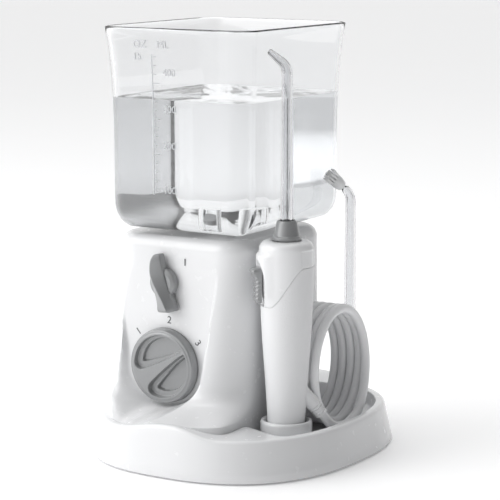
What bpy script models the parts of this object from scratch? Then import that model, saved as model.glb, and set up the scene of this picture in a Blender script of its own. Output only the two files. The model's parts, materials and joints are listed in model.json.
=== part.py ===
"""Countertop water flosser: a pump base, a lift-off tank, a corded handle with a jet tip, and a spare tip.

Lengths below are in millimetres and become metres where a mesh is made.
Origin: centre of the base's footprint, on the surface it stands on.
-Y is the front with the controls, +X is the side with the handle and the hose, +Z is up.
"""

import math

import bmesh
import bpy
from mathutils import Matrix, Vector

MM = 0.001
GAP = 0.3
WALL = 2.4
SMOOTH_ANGLE = math.radians(38)

# Base foot: a superellipse footprint whose wall leans in as it rises.
FOOT_HALF_X = 64.5
FOOT_HALF_Y = 74.0
FOOT_POWER = 2.5
FOOT_BOTTOM = 0.6
FOOT_LEAN = 0.21
LIP_HIGH = 24.0
LIP_FALL = 4.6
LIP_BAND = 3.2
TRAY_FLOOR = 12.0
TRAY_UNDERSIDE = 9.3
RIM_THICK = 4.2
SCREW_PLACES = ((-34.0, -47.0), (30.0, -47.0), (-34.0, 52.0), (38.0, 40.0))
PAD_PLACES = ((-44.0, -40.0), (44.0, -40.0), (-44.0, 42.0), (44.0, 28.0))

# Housing: a rounded box whose front leans forward below the panel and flares out to the base's lip.
HOUSE_LEFT = -54.0
HOUSE_RIGHT = 20.0
HOUSE_FRONT = -33.5
HOUSE_BACK = 47.0
HOUSE_TOP = 103.1
HOUSE_BULGE = 13.0
FLARE_TOP = 40.0
FLARE_BOTTOM = 23.0
FLARE_FRONT = 20.0
FLARE_RIGHT = 6.0
FLARE_POWER = 4.2
SKIRT_LEVELS = (23.0, 24.0, 25.5, 27.5, 30.0, 33.0, 36.5, 41.0)
PANEL_Y = -33.8
PANEL_X = -21.5

# Controls, on the panel's centre line.
KNOB_Z = 82.0
KNOB_RADIUS = 7.0
KNOB_REST_TILT = -8.0
DIAL_Z = 42.6
DIAL_RADIUS = 17.8
DIAL_REST_ANGLE = 57.0

# Tank.
TANK_X = -15.2
TANK_Y = 8.8
TANK_HALF_X = 38.5
TANK_HALF_Y = 45.2
TANK_CORNER = 10.0
TANK_BOTTOM = 105.6
TANK_TOP = 200.0
TANK_FLARE = 2.9
TANK_FLARE_START = 125.0
TANK_WALL = 1.8
VALVE_X = -15.5
VALVE_Y = 8.0

# Pump drive: a pinion turns a crank gear, whose pin drives a yoke and piston.
MODULE = 0.8
PINION_TEETH = 10
GEAR_TEETH = 40
MOTOR_X = -30.0
MOTOR_Z = 72.0
GEAR_X = -18.0
GEAR_Z = 56.0
CRANK_THROW = 4.0
PUMP_Y = -7.4

# Handle and jet tip.
HANDLE_X = 36.0
HANDLE_Y = -21.0
FACING = Vector((-math.sqrt(0.5), -math.sqrt(0.5), 0.0))
SLEEVE_START = Vector((HANDLE_X, HANDLE_Y, 42.6))
SLEEVE_WAY = Vector((0.707, 0.707, -1.17))
TIP_BEND_RADIUS = 8.0
TIP_BEND_ANGLE = 50.0

# Stored tip.
STORED_X = 32.6
STORED_Y = 44.0
STORED_FACING = Vector((-0.5, -math.sqrt(0.75), 0.0))

# Hose: coil of oval turns beside the housing, in planes across X, with one looser loop outside it.
HOSE_RADIUS = 2.2
COIL_LOW_X = 25.65
COIL_PITCH = 4.45
COIL_TURNS = 4
COIL_Y = 14.0
COIL_Z = 41.3
COIL_HALF_Y = 22.5
COIL_HALF_Z = 26.7
LOOP_Y = 12.9
LOOP_Z = 41.5
LOOP_HALF_Y = 22.0
LOOP_HALF_Z = 27.0
TAIL_Z = 14.6
TAIL_START_Y = 29.6
TAIL_STEP = 1.5
GLAND_CENTRE_Z = 16.5


def clear_scene():
    for obj in list(bpy.data.objects):
        bpy.data.objects.remove(obj, do_unlink=True)


def material(name, colour, roughness, metallic=0.0):
    made = bpy.data.materials.new(name)
    made.use_nodes = True
    shader = made.node_tree.nodes["Principled BSDF"]
    shader.inputs["Base Color"].default_value = (*colour, 1.0)
    shader.inputs["Roughness"].default_value = roughness
    shader.inputs["Metallic"].default_value = metallic
    return made


def add_object(name, mesh_data, finish, origin=(0.0, 0.0, 0.0)):
    """Links an object built in millimetres from bmesh data, with its origin at the given point."""
    bmesh.ops.recalc_face_normals(mesh_data, faces=mesh_data.faces)
    offset = Vector(origin)
    for vertex in mesh_data.verts:
        vertex.co = (vertex.co - offset) * MM
    mesh = bpy.data.meshes.new(name)
    mesh_data.to_mesh(mesh)
    mesh_data.free()
    mesh.shade_smooth()
    mesh.set_sharp_from_angle(angle=SMOOTH_ANGLE)
    obj = bpy.data.objects.new(name, mesh)
    obj.location = offset * MM
    obj.data.materials.append(material(name + "_finish", *finish))
    bpy.context.scene.collection.objects.link(obj)
    return obj


def as_cutter(obj):
    obj.hide_render = True
    obj.display_type = "WIRE"
    return obj


def boolean(target, tool, operation="DIFFERENCE"):
    step = target.modifiers.new(operation.lower(), "BOOLEAN")
    step.operation = operation
    step.solver = "EXACT"
    step.object = as_cutter(tool)
    return target


def rings_mesh(rings, closed=False):
    """Joins rings of equal point counts. Open stacks get flat caps, a closed one joins last to first."""
    made = bmesh.new()
    rows = [[made.verts.new(point) for point in ring] for ring in rings]
    count = len(rings[0])
    pairs = list(zip(rows, rows[1:]))
    if closed:
        pairs.append((rows[-1], rows[0]))
    for low, high in pairs:
        for index in range(count):
            after = (index + 1) % count
            made.faces.new((low[index], low[after], high[after], high[index]))
    if not closed:
        made.faces.new(rows[0])
        made.faces.new(rows[-1])
    return made


def lofted(name, rings, finish, origin=(0.0, 0.0, 0.0), closed=False):
    return add_object(name, rings_mesh(rings, closed), finish, origin)


def frame_for(axis):
    """Two directions square to the axis."""
    axis = Vector(axis).normalized()
    helper = Vector((0.0, 0.0, 1.0)) if abs(axis.z) < 0.9 else Vector((0.0, 1.0, 0.0))
    side = axis.cross(helper).normalized()
    return side, side.cross(axis).normalized()


def turned(name, profile, centre, axis, finish, steps=24, closed=False, origin=None):
    """Turns (radius, distance along axis) pairs round an axis through centre."""
    side, other = frame_for(axis)
    direction = Vector(axis).normalized()
    centre = Vector(centre)
    rings = []
    for radius, along in profile:
        ring = []
        for step in range(steps):
            angle = 2.0 * math.pi * step / steps
            reach = side * (radius * math.cos(angle)) + other * (radius * math.sin(angle))
            ring.append(centre + direction * along + reach)
        rings.append(ring)
    return lofted(name, rings, finish, origin or tuple(centre), closed)


def extruded(name, outline, axis, low, high, finish, origin=(0.0, 0.0, 0.0)):
    """Extrudes a plane outline: (y, z) pairs along X, (x, z) along Y, (x, y) along Z."""
    def place(pair, level):
        first, second = pair
        if axis == "X":
            return (level, first, second)
        if axis == "Y":
            return (first, level, second)
        return (first, second, level)

    rings = [[place(pair, level) for pair in outline] for level in (low, high)]
    return lofted(name, rings, finish, origin)


def box(name, low, high, finish, origin=(0.0, 0.0, 0.0)):
    outline = [(low[0], low[1]), (high[0], low[1]), (high[0], high[1]), (low[0], high[1])]
    return extruded(name, outline, "Z", low[2], high[2], finish, origin)


def circle(centre, radius, count):
    turns = [2.0 * math.pi * step / count for step in range(count)]
    return [(centre[0] + radius * math.cos(turn), centre[1] + radius * math.sin(turn)) for turn in turns]


def rounded_box_outline(left, right, front, back, front_radius, back_radius, per_corner=10):
    """Counter-clockwise from the front-left corner, seen from above."""
    corners = (
        (left + front_radius, front + front_radius, front_radius, 180.0),
        (right - front_radius, front + front_radius, front_radius, 270.0),
        (right - back_radius, back - back_radius, back_radius, 0.0),
        (left + back_radius, back - back_radius, back_radius, 90.0),
    )
    points = []
    for x, y, radius, start in corners:
        for step in range(per_corner):
            angle = math.radians(start + 90.0 * step / (per_corner - 1))
            points.append((x + radius * math.cos(angle), y + radius * math.sin(angle)))
    return points


def at_height(outline, height):
    return [(x, y, height) for x, y in outline]


def smooth_step(value):
    value = min(max(value, 0.0), 1.0)
    return value * value * (3.0 - 2.0 * value)


def smooth_curve(points, pieces):
    """A Catmull-Rom curve through the points, with the given number of pieces between each two."""
    points = [Vector(point) for point in points]
    ends = [points[0] * 2 - points[1]] + points + [points[-1] * 2 - points[-2]]
    found = []
    for index in range(1, len(ends) - 2):
        before, start, stop, after = ends[index - 1 : index + 3]
        for piece in range(pieces):
            t = piece / pieces
            linear = (stop - before) * t
            square = (before * 2 - start * 5 + stop * 4 - after) * t**2
            cube = (start * 3 - before - stop * 3 + after) * t**3
            found.append((start * 2 + linear + square + cube) / 2)
    found.append(points[-1])
    return found


def tube(name, points, radius, finish, resolution=2):
    """A round solid tube along a polyline."""
    curve = bpy.data.curves.new(name, "CURVE")
    curve.dimensions = "3D"
    curve.bevel_depth = radius * MM
    curve.bevel_resolution = resolution
    curve.use_fill_caps = True
    curve.render_resolution_u = 0
    spline = curve.splines.new("POLY")
    spline.points.add(len(points) - 1)
    for slot, point in zip(spline.points, points):
        slot.co = (*(Vector(point) * MM), 1.0)
    obj = bpy.data.objects.new(name, curve)
    obj.data.materials.append(material(name + "_finish", *finish))
    bpy.context.scene.collection.objects.link(obj)
    return obj


def swept_pipe(name, path, radii, bore_share, finish, steps, origin):
    """A pipe along a path that lies in one upright plane, with a radius at each point and a through bore."""
    across = None
    outer = []
    inner = []
    for index, point in enumerate(path):
        before = path[max(index - 1, 0)]
        after = path[min(index + 1, len(path) - 1)]
        along = (after - before).normalized()
        if across is None:
            flat = Vector((path[-1].x - path[0].x, path[-1].y - path[0].y, 0.0)).normalized()
            across = Vector((0.0, 0.0, 1.0)).cross(flat)
        normal = across.cross(along)
        for rings, radius in ((outer, radii[index]), (inner, radii[index] * bore_share)):
            ring = []
            for step in range(steps):
                angle = 2.0 * math.pi * step / steps
                ring.append(point + (across * math.cos(angle) + normal * math.sin(angle)) * radius)
            rings.append(ring)
    return lofted(name, outer + inner[::-1], finish, origin, closed=True)


WHITE_GLOSS = ((0.86, 0.87, 0.88), 0.22)
WHITE_TEXTURED = ((0.82, 0.83, 0.84), 0.55)
GREY_CONTROL = ((0.33, 0.34, 0.35), 0.35)
GREY_PLASTIC = ((0.45, 0.46, 0.48), 0.4)
CLEAR = ((0.80, 0.83, 0.85), 0.08)
BLACK_PLASTIC = ((0.03, 0.03, 0.032), 0.5)
RUBBER = ((0.05, 0.05, 0.05), 0.8)
STEEL = ((0.55, 0.56, 0.57), 0.3, 1.0)
BRASS = ((0.70, 0.55, 0.28), 0.35, 1.0)
NATURAL_PLASTIC = ((0.78, 0.77, 0.72), 0.45)
HOSE_WHITE = ((0.80, 0.81, 0.83), 0.4)
BOARD_GREEN = ((0.04, 0.22, 0.10), 0.5)


def foot_outline(inset, count=56):
    points = []
    for step in range(count):
        turn = 2.0 * math.pi * step / count
        c = math.cos(turn)
        s = math.sin(turn)
        x = (FOOT_HALF_X - inset) * math.copysign(abs(c) ** (2.0 / FOOT_POWER), c)
        y = (FOOT_HALF_Y - inset) * math.copysign(abs(s) ** (2.0 / FOOT_POWER), s)
        points.append((x, y))
    return points


def lip_height(x):
    """The lip swells in a wave below the controls and is lower on both sides."""
    return LIP_HIGH - LIP_FALL * (smooth_step((x - 4.0) / 24.0) + smooth_step((2.0 - x) / 36.0))


def housing_outline(height, inset=0.0):
    low = min(max((95.0 - height) / 78.0, 0.0), 1.0)
    front = HOUSE_FRONT - HOUSE_BULGE * low**1.4 + inset
    plain = rounded_box_outline(
        HOUSE_LEFT - 1.2 * low + inset,
        HOUSE_RIGHT + 0.9 * low - inset,
        front,
        HOUSE_BACK - inset,
        15.0 + 7.0 * low - inset,
        18.0 - inset,
    )
    flare = min(max((FLARE_TOP - height) / (FLARE_TOP - FLARE_BOTTOM), 0.0), 1.0) ** FLARE_POWER
    return [flared(x, y, height, flare, inset) for x, y in plain]


def flared(x, y, height, flare, inset):
    """Moves a point of the housing's plan out by the flare, and keeps it inside the base's lip."""
    x += FLARE_RIGHT * flare * smooth_step(x / 18.0) * smooth_step((-16.0 - y) / 24.0)
    y -= FLARE_FRONT * flare * smooth_step((-8.0 - y) / 28.0)
    margin = FOOT_LEAN * min(height, LIP_HIGH) + LIP_BAND + inset
    reach = (abs(x) / (FOOT_HALF_X - margin)) ** FOOT_POWER + (abs(y) / (FOOT_HALF_Y - margin)) ** FOOT_POWER
    if y > 0.0 or reach < 1.0:
        return (x, y)
    pull = 1.0 - (1.0 - reach ** (-1.0 / FOOT_POWER)) * min(8.0 * flare, 1.0)
    return (x * pull, y * pull)


def make_base():
    levels = ((FOOT_BOTTOM, 1.0), (1.8, FOOT_LEAN * 1.8), (30.0, FOOT_LEAN * 30.0))
    foot = lofted("base_foot", [at_height(foot_outline(inset), z) for z, inset in levels], WHITE_GLOSS)

    samples = [-80.0 + 4.0 * step for step in range(41)]
    above = [(x, lip_height(x)) for x in samples] + [(80.0, 60.0), (-80.0, 60.0)]
    boolean(foot, extruded("lip_cutter", above, "Y", -90.0, 90.0, WHITE_GLOSS))

    under = [at_height(foot_outline(3.2), -1.0), at_height(foot_outline(5.0), TRAY_UNDERSIDE)]
    boolean(foot, lofted("underside_cutter", under, WHITE_GLOSS))

    rim = foot_outline(FOOT_LEAN * (LIP_HIGH - LIP_FALL) + RIM_THICK)
    tray = [(x, y) for x, y in rim if x > 24.0 and y > -46.0 and y < 64.0]
    tray.sort(key=lambda point: math.atan2(point[1], point[0]))
    tray += [(21.1, 60.0), (21.1, -34.0)]
    boolean(foot, extruded("tray_cutter", tray, "Z", TRAY_FLOOR, 60.0, WHITE_GLOSS))

    pocket = [at_height(housing_outline(z, -GAP), z) for z in (TRAY_FLOOR, *SKIRT_LEVELS[:6])]
    boolean(foot, lofted("pocket_cutter", pocket, WHITE_GLOSS))

    hatch = rounded_box_outline(-49.5, 14.0, -28.0, 41.0, 6.0, 6.0, 4)
    boolean(foot, extruded("hatch_cutter", hatch, "Z", 5.0, 20.0, WHITE_GLOSS))
    boolean(foot, extruded("feed_cutter", circle((COIL_LOW_X, 53.0), 2.5, 12), "Z", 5.0, 20.0, WHITE_GLOSS))


def make_bottom_cover():
    plate = [at_height(foot_outline(5.6, 40), z) for z in (1.6, 3.4)]
    cover = lofted("bottom_cover", plate, GREY_PLASTIC)
    for number, (x, y) in enumerate(SCREW_PLACES):
        boolean(cover, extruded(f"screw_hole_{number}", circle((x, y), 1.7, 10), "Z", 0.5, 5.0, RUBBER))
        screw = ((3.0, 0.7), (3.0, 1.3), (1.4, 1.3), (1.4, 8.6))
        turned(f"cover_screw_{number + 1}", screw, (x, y, 0.0), (0, 0, 1), STEEL, 12)
    for number, (x, y) in enumerate(PAD_PLACES):
        pad = ((5.5, 0.0), (6.0, 0.4), (6.0, 1.3))
        turned(f"rubber_foot_{number + 1}", pad, (x, y, 0.0), (0, 0, 1), RUBBER, 20)


def shield_outline(grow=0.0):
    """The panel: straight sides that close in to a half circle round the dial."""
    half_top = 28.3 + grow
    radius = 21.2 + grow
    top = 99.5 + grow
    corner = 8.0 + grow
    points = []
    for step in range(17):
        angle = math.radians(186.0 + 168.0 * step / 16)
        points.append((PANEL_X + radius * math.cos(angle), DIAL_Z + radius * math.sin(angle)))
    for start, side in ((0.0, 1.0), (90.0, -1.0)):
        for step in range(6):
            angle = math.radians(start + 18.0 * step)
            x = PANEL_X + side * (half_top - corner) + corner * math.cos(angle)
            points.append((x, top - corner + corner * math.sin(angle)))
    return points


def make_housing():
    levels = [(z, 0.0) for z in (TRAY_FLOOR + GAP, *SKIRT_LEVELS, 52.0, 66.0, 80.0, 95.0)]
    levels += [(99.0, 0.0), (101.3, 0.8), (102.6, 2.3), (HOUSE_TOP, 4.8)]
    skin_rings = [at_height(housing_outline(z, inset), z) for z, inset in levels]
    shell = lofted("body_housing", skin_rings, WHITE_GLOSS)

    hollow_levels = (11.0, *SKIRT_LEVELS, 52.0, 70.0, 95.0, 100.5)
    hollow = [at_height(housing_outline(z, WALL), z) for z in hollow_levels]
    boolean(shell, lofted("hollow_cutter", hollow, WHITE_GLOSS))

    skin_levels = (14.0, *SKIRT_LEVELS, 52.0, 66.0, 80.0, 95.0, 101.0)
    skin = [at_height(housing_outline(z, 0.2), z) for z in skin_levels]
    backing = extruded("panel_backing", shield_outline(WALL), "Y", -70.0, PANEL_Y + WALL, WHITE_GLOSS)
    boolean(backing, lofted("backing_limit", skin, WHITE_GLOSS), "INTERSECT")
    boolean(shell, backing, "UNION")

    sill = DIAL_Z - 21.4
    draft = [
        [(x, PANEL_Y, max(z, sill)) for x, z in shield_outline()],
        [(x, -80.0, max(z, sill)) for x, z in shield_outline(9.8)],
    ]
    boolean(shell, lofted("panel_cutter", draft, WHITE_GLOSS))

    cut_round(shell, "knob_bore", (PANEL_X, -40.0, KNOB_Z), (0, 1, 0), 3.4, 20.0)
    cut_round(shell, "dial_bore", (PANEL_X, -40.0, DIAL_Z), (0, 1, 0), 4.0, 20.0)
    cut_round(shell, "seat_bore", (VALVE_X, VALVE_Y, 95.0), (0, 0, 1), 9.5, 20.0)
    cut_round(shell, "cord_bore", (-20.0, 40.0, 34.0), (0, 1, 0), 4.6, 20.0)

    gland = ((2.6, 43.5), (4.3, 43.5), (4.3, 47.3), (6.4, 47.3), (6.4, 49.0), (4.6, 49.6), (3.8, 58.0))
    gland += ((2.6, 58.0),)
    turned("cord_gland", gland, (-20.0, 0.0, 34.0), (0, 1, 0), RUBBER, 20, closed=True)


def cut_round(target, name, start, axis, radius, length, steps=24):
    profile = ((radius, 0.0), (radius, length))
    boolean(target, turned(name, profile, start, axis, WHITE_GLOSS, steps))


def make_controls():
    knob_axis = (PANEL_X, 0.0, KNOB_Z)
    disc = ((3.1, 22.0), (3.1, 34.1), (KNOB_RADIUS, 34.1), (KNOB_RADIUS, 37.4), (KNOB_RADIUS - 0.8, 38.2))
    knob = turned("power_knob", disc, knob_axis, (0, -1, 0), GREY_CONTROL, 28)
    lever = []
    for share in (0.0, 0.06, 0.3, 0.6, 0.94, 1.0):
        height = -13.2 + 26.4 * share
        half = (5.4 - 2.7 * share) * (0.7 if share in (0.0, 1.0) else 1.0)
        front = -44.6 + 2.6 * share
        ring = [(-half, -35.6), (half, -35.6), (half, front + 1.2), (half - 1.0, front)]
        ring += [(1.0 - half, front), (-half, front + 1.2)]
        sway = 1.6 * math.sin(math.pi * share) - 0.8 * share
        lever.append([(x - sway, y, height) for x, y in ring])
    tilt = Matrix.Rotation(math.radians(KNOB_REST_TILT), 3, "Y")
    placed = [[tilt @ Vector(point) + Vector(knob_axis) for point in ring] for ring in lever]
    boolean(knob, lofted("lever_shape", placed, GREY_CONTROL, knob_axis), "UNION")

    switch = box("power_switch", (-31.5, -30.9, 73.0), (-11.5, -19.5, 91.0), BLACK_PLASTIC)
    cut_round(switch, "switch_bore", (PANEL_X, -32.0, KNOB_Z), (0, 1, 0), 3.5, 14.0, 20)

    dial_axis = (PANEL_X, 0.0, DIAL_Z)
    flank = ((3.6, 26.0), (3.6, 34.1), (DIAL_RADIUS, 34.1), (DIAL_RADIUS - 0.6, 38.6))
    flank += ((DIAL_RADIUS - 1.6, 39.4),)
    dial = turned("pressure_dial", flank, dial_axis, (0, -1, 0), GREY_CONTROL, 40)
    turn = Matrix.Rotation(math.radians(DIAL_REST_ANGLE), 3, "Y")
    for number, side in enumerate((-1.0, 1.0)):
        recess = []
        for step in range(11):
            angle = math.radians(-82.0 + 16.4 * step)
            recess.append((side * (3.0 + 11.2 * math.cos(angle)), 13.2 * math.sin(angle)))
        rings = []
        for depth in (-35.9, -41.0):
            flat = [Vector((x, depth, z)) for x, z in recess]
            rings.append([turn @ point + Vector(dial_axis) for point in flat])
        boolean(dial, lofted(f"dial_recess_{number}", rings, GREY_CONTROL, dial_axis))

    needle = ((1.0, 19.6), (2.6, 23.6), (2.6, 25.7))
    turned("regulator_needle", needle, dial_axis, (0, -1, 0), BRASS, 16)
    body = ((1.5, 17.0), (9.0, 17.0), (9.0, 30.9), (4.0, 30.9), (4.0, 25.6), (3.1, 25.2), (3.1, 22.5))
    body += ((1.5, 19.0),)
    turned("pressure_regulator", body, dial_axis, (0, -1, 0), NATURAL_PLASTIC, 24, closed=True)


def tank_outline(inset, grow, per_corner=9):
    return rounded_box_outline(
        TANK_X - TANK_HALF_X - grow + inset,
        TANK_X + TANK_HALF_X + grow - inset,
        TANK_Y - TANK_HALF_Y - grow + inset,
        TANK_Y + TANK_HALF_Y + grow - inset,
        max(TANK_CORNER - inset, 1.0),
        max(TANK_CORNER - inset, 1.0),
        per_corner,
    )


def tank_flare(height):
    share = max(height - TANK_FLARE_START, 0.0) / (TANK_TOP - TANK_FLARE_START)
    return TANK_FLARE * share**3.5


def make_tank():
    outer = [(TANK_BOTTOM, 9.5), (106.6, 5.6), (109.0, 2.6), (113.0, 0.7), (118.0, 0.0)]
    outer += [(z, 0.0) for z in (145.0, 160.0, 172.0, 183.0, 192.0, TANK_TOP)]
    inner = [(z, TANK_WALL) for z in (TANK_TOP, 192.0, 183.0, 172.0, 160.0, 145.0, 118.0)]
    inner += [(113.0, TANK_WALL + 1.0), (109.6, TANK_WALL + 3.6), (107.8, TANK_WALL + 8.6)]
    rings = [at_height(tank_outline(inset, tank_flare(z)), z) for z, inset in outer + inner]
    tank = lofted("reservoir", rings, CLEAR)
    cut_round(tank, "valve_hole", (VALVE_X, VALVE_Y, 100.0), (0, 0, 1), 6.4, 10.0)

    axis = (VALVE_X, VALVE_Y, 0.0)
    up = (0, 0, 1)
    body = ((3.2, 97.5), (6.0, 97.5), (6.0, 108.2), (9.4, 108.2), (9.4, 109.6), (2.0, 109.6), (2.0, 106.0))
    body += ((3.2, 106.0),)
    turned("reservoir_valve_body", body, axis, up, NATURAL_PLASTIC, 24, closed=True)
    poppet = ((2.8, 98.0), (2.8, 98.8), (1.5, 98.8), (1.5, 109.9), (5.2, 109.9), (4.6, 111.4))
    turned("valve_poppet", poppet, axis, up, GREY_PLASTIC, 20)
    eighths = 28
    path = []
    for step in range(eighths + 1):
        angle = 2.0 * math.pi * step / 8
        height = 99.6 + 5.6 * step / eighths
        path.append((VALVE_X + 2.35 * math.cos(angle), VALVE_Y + 2.35 * math.sin(angle), height))
    tube("valve_spring", path, 0.35, STEEL, 0)

    seat = ((1.6, 88.5), (2.7, 88.5), (2.7, 92.0), (9.2, 92.0), (9.2, 103.4), (11.6, 103.4), (11.6, 104.4))
    seat += ((7.4, 104.4), (7.4, 95.0), (1.6, 95.0))
    turned("reservoir_seat", seat, axis, up, NATURAL_PLASTIC, 24, closed=True)
    gasket = ((6.3, 100.0), (7.1, 100.0), (7.1, 102.2), (6.3, 102.2))
    turned("seat_gasket", gasket, axis, up, RUBBER, 24, closed=True)


def gear_outline(teeth, phase):
    pitch_radius = MODULE * teeth / 2.0
    points = []
    for tooth in range(teeth):
        middle = phase + 2.0 * math.pi * tooth / teeth
        tooth_angle = 2.0 * math.pi / teeth
        for share, reach in ((-0.28, -1.15), (-0.12, 0.75), (0.12, 0.75), (0.28, -1.15)):
            angle = middle + share * tooth_angle
            radius = pitch_radius + reach * MODULE
            points.append((radius * math.cos(angle), radius * math.sin(angle)))
    return points


def make_gear(name, teeth, centre, phase, bore, finish):
    outline = [(centre[0] + x, centre[1] + z) for x, z in gear_outline(teeth, phase)]
    origin = (centre[0], 0.0, centre[1])
    gear = extruded(name, outline, "Y", -4.5, -0.5, finish, origin)
    cut_round(gear, name + "_bore", (centre[0], -6.0, centre[1]), (0, 1, 0), bore, 8.0, 16)
    return gear


def make_pump():
    plate = rounded_box_outline(-48.0, 6.0, 14.0, 90.5, 5.0, 5.0, 4)
    chassis = extruded("chassis", plate, "Y", 2.0, 4.5, GREY_PLASTIC)
    cut_round(chassis, "shaft_hole", (MOTOR_X, 0.0, MOTOR_Z), (0, 1, 0), 2.4, 8.0, 16)
    cut_round(chassis, "axle_hole", (GEAR_X, 0.0, GEAR_Z), (0, 1, 0), 2.3, 8.0, 16)

    can = ((1.9, 30.0), (1.9, 4.9), (13.6, 4.9), (14.5, 5.8), (14.5, 41.0), (13.6, 42.0))
    turned("motor", can, (MOTOR_X, 0.0, MOTOR_Z), (0, 1, 0), STEEL, 28)
    shaft = ((1.5, -5.5), (1.5, 29.0))
    turned("motor_shaft", shaft, (MOTOR_X, 0.0, MOTOR_Z), (0, 1, 0), STEEL, 12)

    toward = math.atan2(GEAR_Z - MOTOR_Z, GEAR_X - MOTOR_X)
    crank = make_gear("crank_gear", GEAR_TEETH, (GEAR_X, GEAR_Z), toward + math.pi, 2.3, NATURAL_PLASTIC)
    half_tooth = math.pi / PINION_TEETH
    make_gear("motor_pinion", PINION_TEETH, (MOTOR_X, MOTOR_Z), toward + half_tooth, 1.8, BRASS)
    axle = ((2.0, -4.9), (2.0, 8.0))
    turned("gear_axle", axle, (GEAR_X, 0.0, GEAR_Z), (0, 1, 0), STEEL, 14)
    pin = ((1.5, -9.6), (1.5, -4.0))
    pin_place = (GEAR_X + CRANK_THROW, 0.0, GEAR_Z)
    boolean(crank, turned("crank_pin", pin, pin_place, (0, 1, 0), NATURAL_PLASTIC, 12), "UNION")

    frame = rounded_box_outline(GEAR_X - 8.6, GEAR_X + 8.6, GEAR_Z - 12.6, GEAR_Z + 12.6, 3.0, 3.0, 4)
    yoke = extruded("drive_yoke", frame, "Y", -9.0, -5.8, NATURAL_PLASTIC)
    window = rounded_box_outline(GEAR_X - 6.2, GEAR_X + 6.2, GEAR_Z - 10.2, GEAR_Z + 10.2, 1.5, 1.5, 3)
    boolean(yoke, extruded("yoke_window", window, "Y", -12.0, -3.0, NATURAL_PLASTIC))

    axis = (GEAR_X, PUMP_Y, 0.0)
    up = (0, 0, 1)
    turned("piston_rod", ((2.0, 26.4), (2.0, 43.0)), axis, up, STEEL, 14)
    piston = ((5.4, 19.8), (5.4, 21.8), (4.4, 21.8), (4.4, 24.0), (5.4, 24.0), (5.4, 26.0))
    turned("piston", piston, axis, up, NATURAL_PLASTIC, 20)
    seal = ((4.7, 22.1), (5.9, 22.1), (5.9, 23.7), (4.7, 23.7))
    turned("piston_seal", seal, axis, up, RUBBER, 20, closed=True)
    cylinder = ((6.2, 10.0), (8.5, 10.0), (8.5, 32.4), (6.2, 32.4))
    turned("pump_cylinder", cylinder, axis, up, NATURAL_PLASTIC, 24, closed=True)

    head = box("pump_head", (-34.0, -16.0, 4.1), (-2.0, 1.2, 9.7), NATURAL_PLASTIC)
    cut_round(head, "chamber_port", (GEAR_X, PUMP_Y, 2.0), up, 3.0, 10.0, 14)
    for name, x in (("inlet_valve", -8.0), ("outlet_valve", -28.0)):
        cut_round(head, name + "_port", (x, PUMP_Y, 2.0), up, 2.9, 10.0, 14)
        turned(name, ((2.5, 4.6), (2.5, 5.8), (1.0, 6.4), (1.0, 9.0)), (x, PUMP_Y, 0.0), up, RUBBER, 12)

    board = rounded_box_outline(-11.0, 13.0, 20.0, 50.0, 2.0, 2.0, 3)
    extruded("rectifier_board", board, "Y", 37.0, 38.6, BOARD_GREEN)

    inlet = ((VALVE_X, VALVE_Y, 88.0), (VALVE_X, VALVE_Y, 86.6), (-14.6, 8.2, 84.6), (-9.0, 9.0, 80.0),
             (3.0, 10.5, 75.5),
             (10.0, 9.5, 66.0), (11.0, 8.5, 45.0), (10.0, 8.0, 24.0), (7.5, 6.5, 12.0), (4.8, 1.5, 7.4),
             (3.0, -2.8, 6.9), (0.8, -4.0, 6.9), (-1.5, -4.0, 6.9))
    tube("inlet_tube", smooth_curve(inlet, 3), 2.0, CLEAR)
    outlet = ((-34.4, PUMP_Y, 6.9), (-38.0, -7.6, 7.2), (-43.5, -9.5, 13.0), (-45.0, -15.0, 26.0),
              (-41.0, -22.0, 39.0), (-35.0, -24.0, 42.4), (-30.9, -24.0, DIAL_Z))
    tube("outlet_tube", smooth_curve(outlet, 3), 2.0, CLEAR)
    feed = ((-12.1, -24.0, DIAL_Z), (-8.0, -24.0, 42.4), (2.0, -21.5, 36.0), (7.5, -17.0, 24.0),
            (9.5, -11.5, 12.0), (11.2, -3.0, 6.6), (12.5, 10.0, 5.9), (17.0, 30.0, 5.9), (23.0, 46.0, 5.9),
            (25.4, 51.5, 6.6), (COIL_LOW_X, 53.0, 9.6))
    tube("hose_feed_tube", smooth_curve(feed, 3), 1.9, CLEAR)


def radial_block(name, direction, low, high, inner, outer, width, finish):
    """A block that reaches out from the handle's axis along a horizontal direction, between two heights."""
    side = Vector((-direction.y, direction.x, 0.0))
    centre = Vector((HANDLE_X, HANDLE_Y, 0.0))
    corners = ((inner, -width / 2), (outer, -width / 2), (outer, width / 2), (inner, width / 2))
    rings = []
    for level in (low, high):
        base = centre + Vector((0.0, 0.0, level))
        rings.append([base + direction * reach + side * across for reach, across in corners])
    return lofted(name, rings, finish)


def sleeve_point(reach):
    return SLEEVE_START + SLEEVE_WAY * reach


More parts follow.
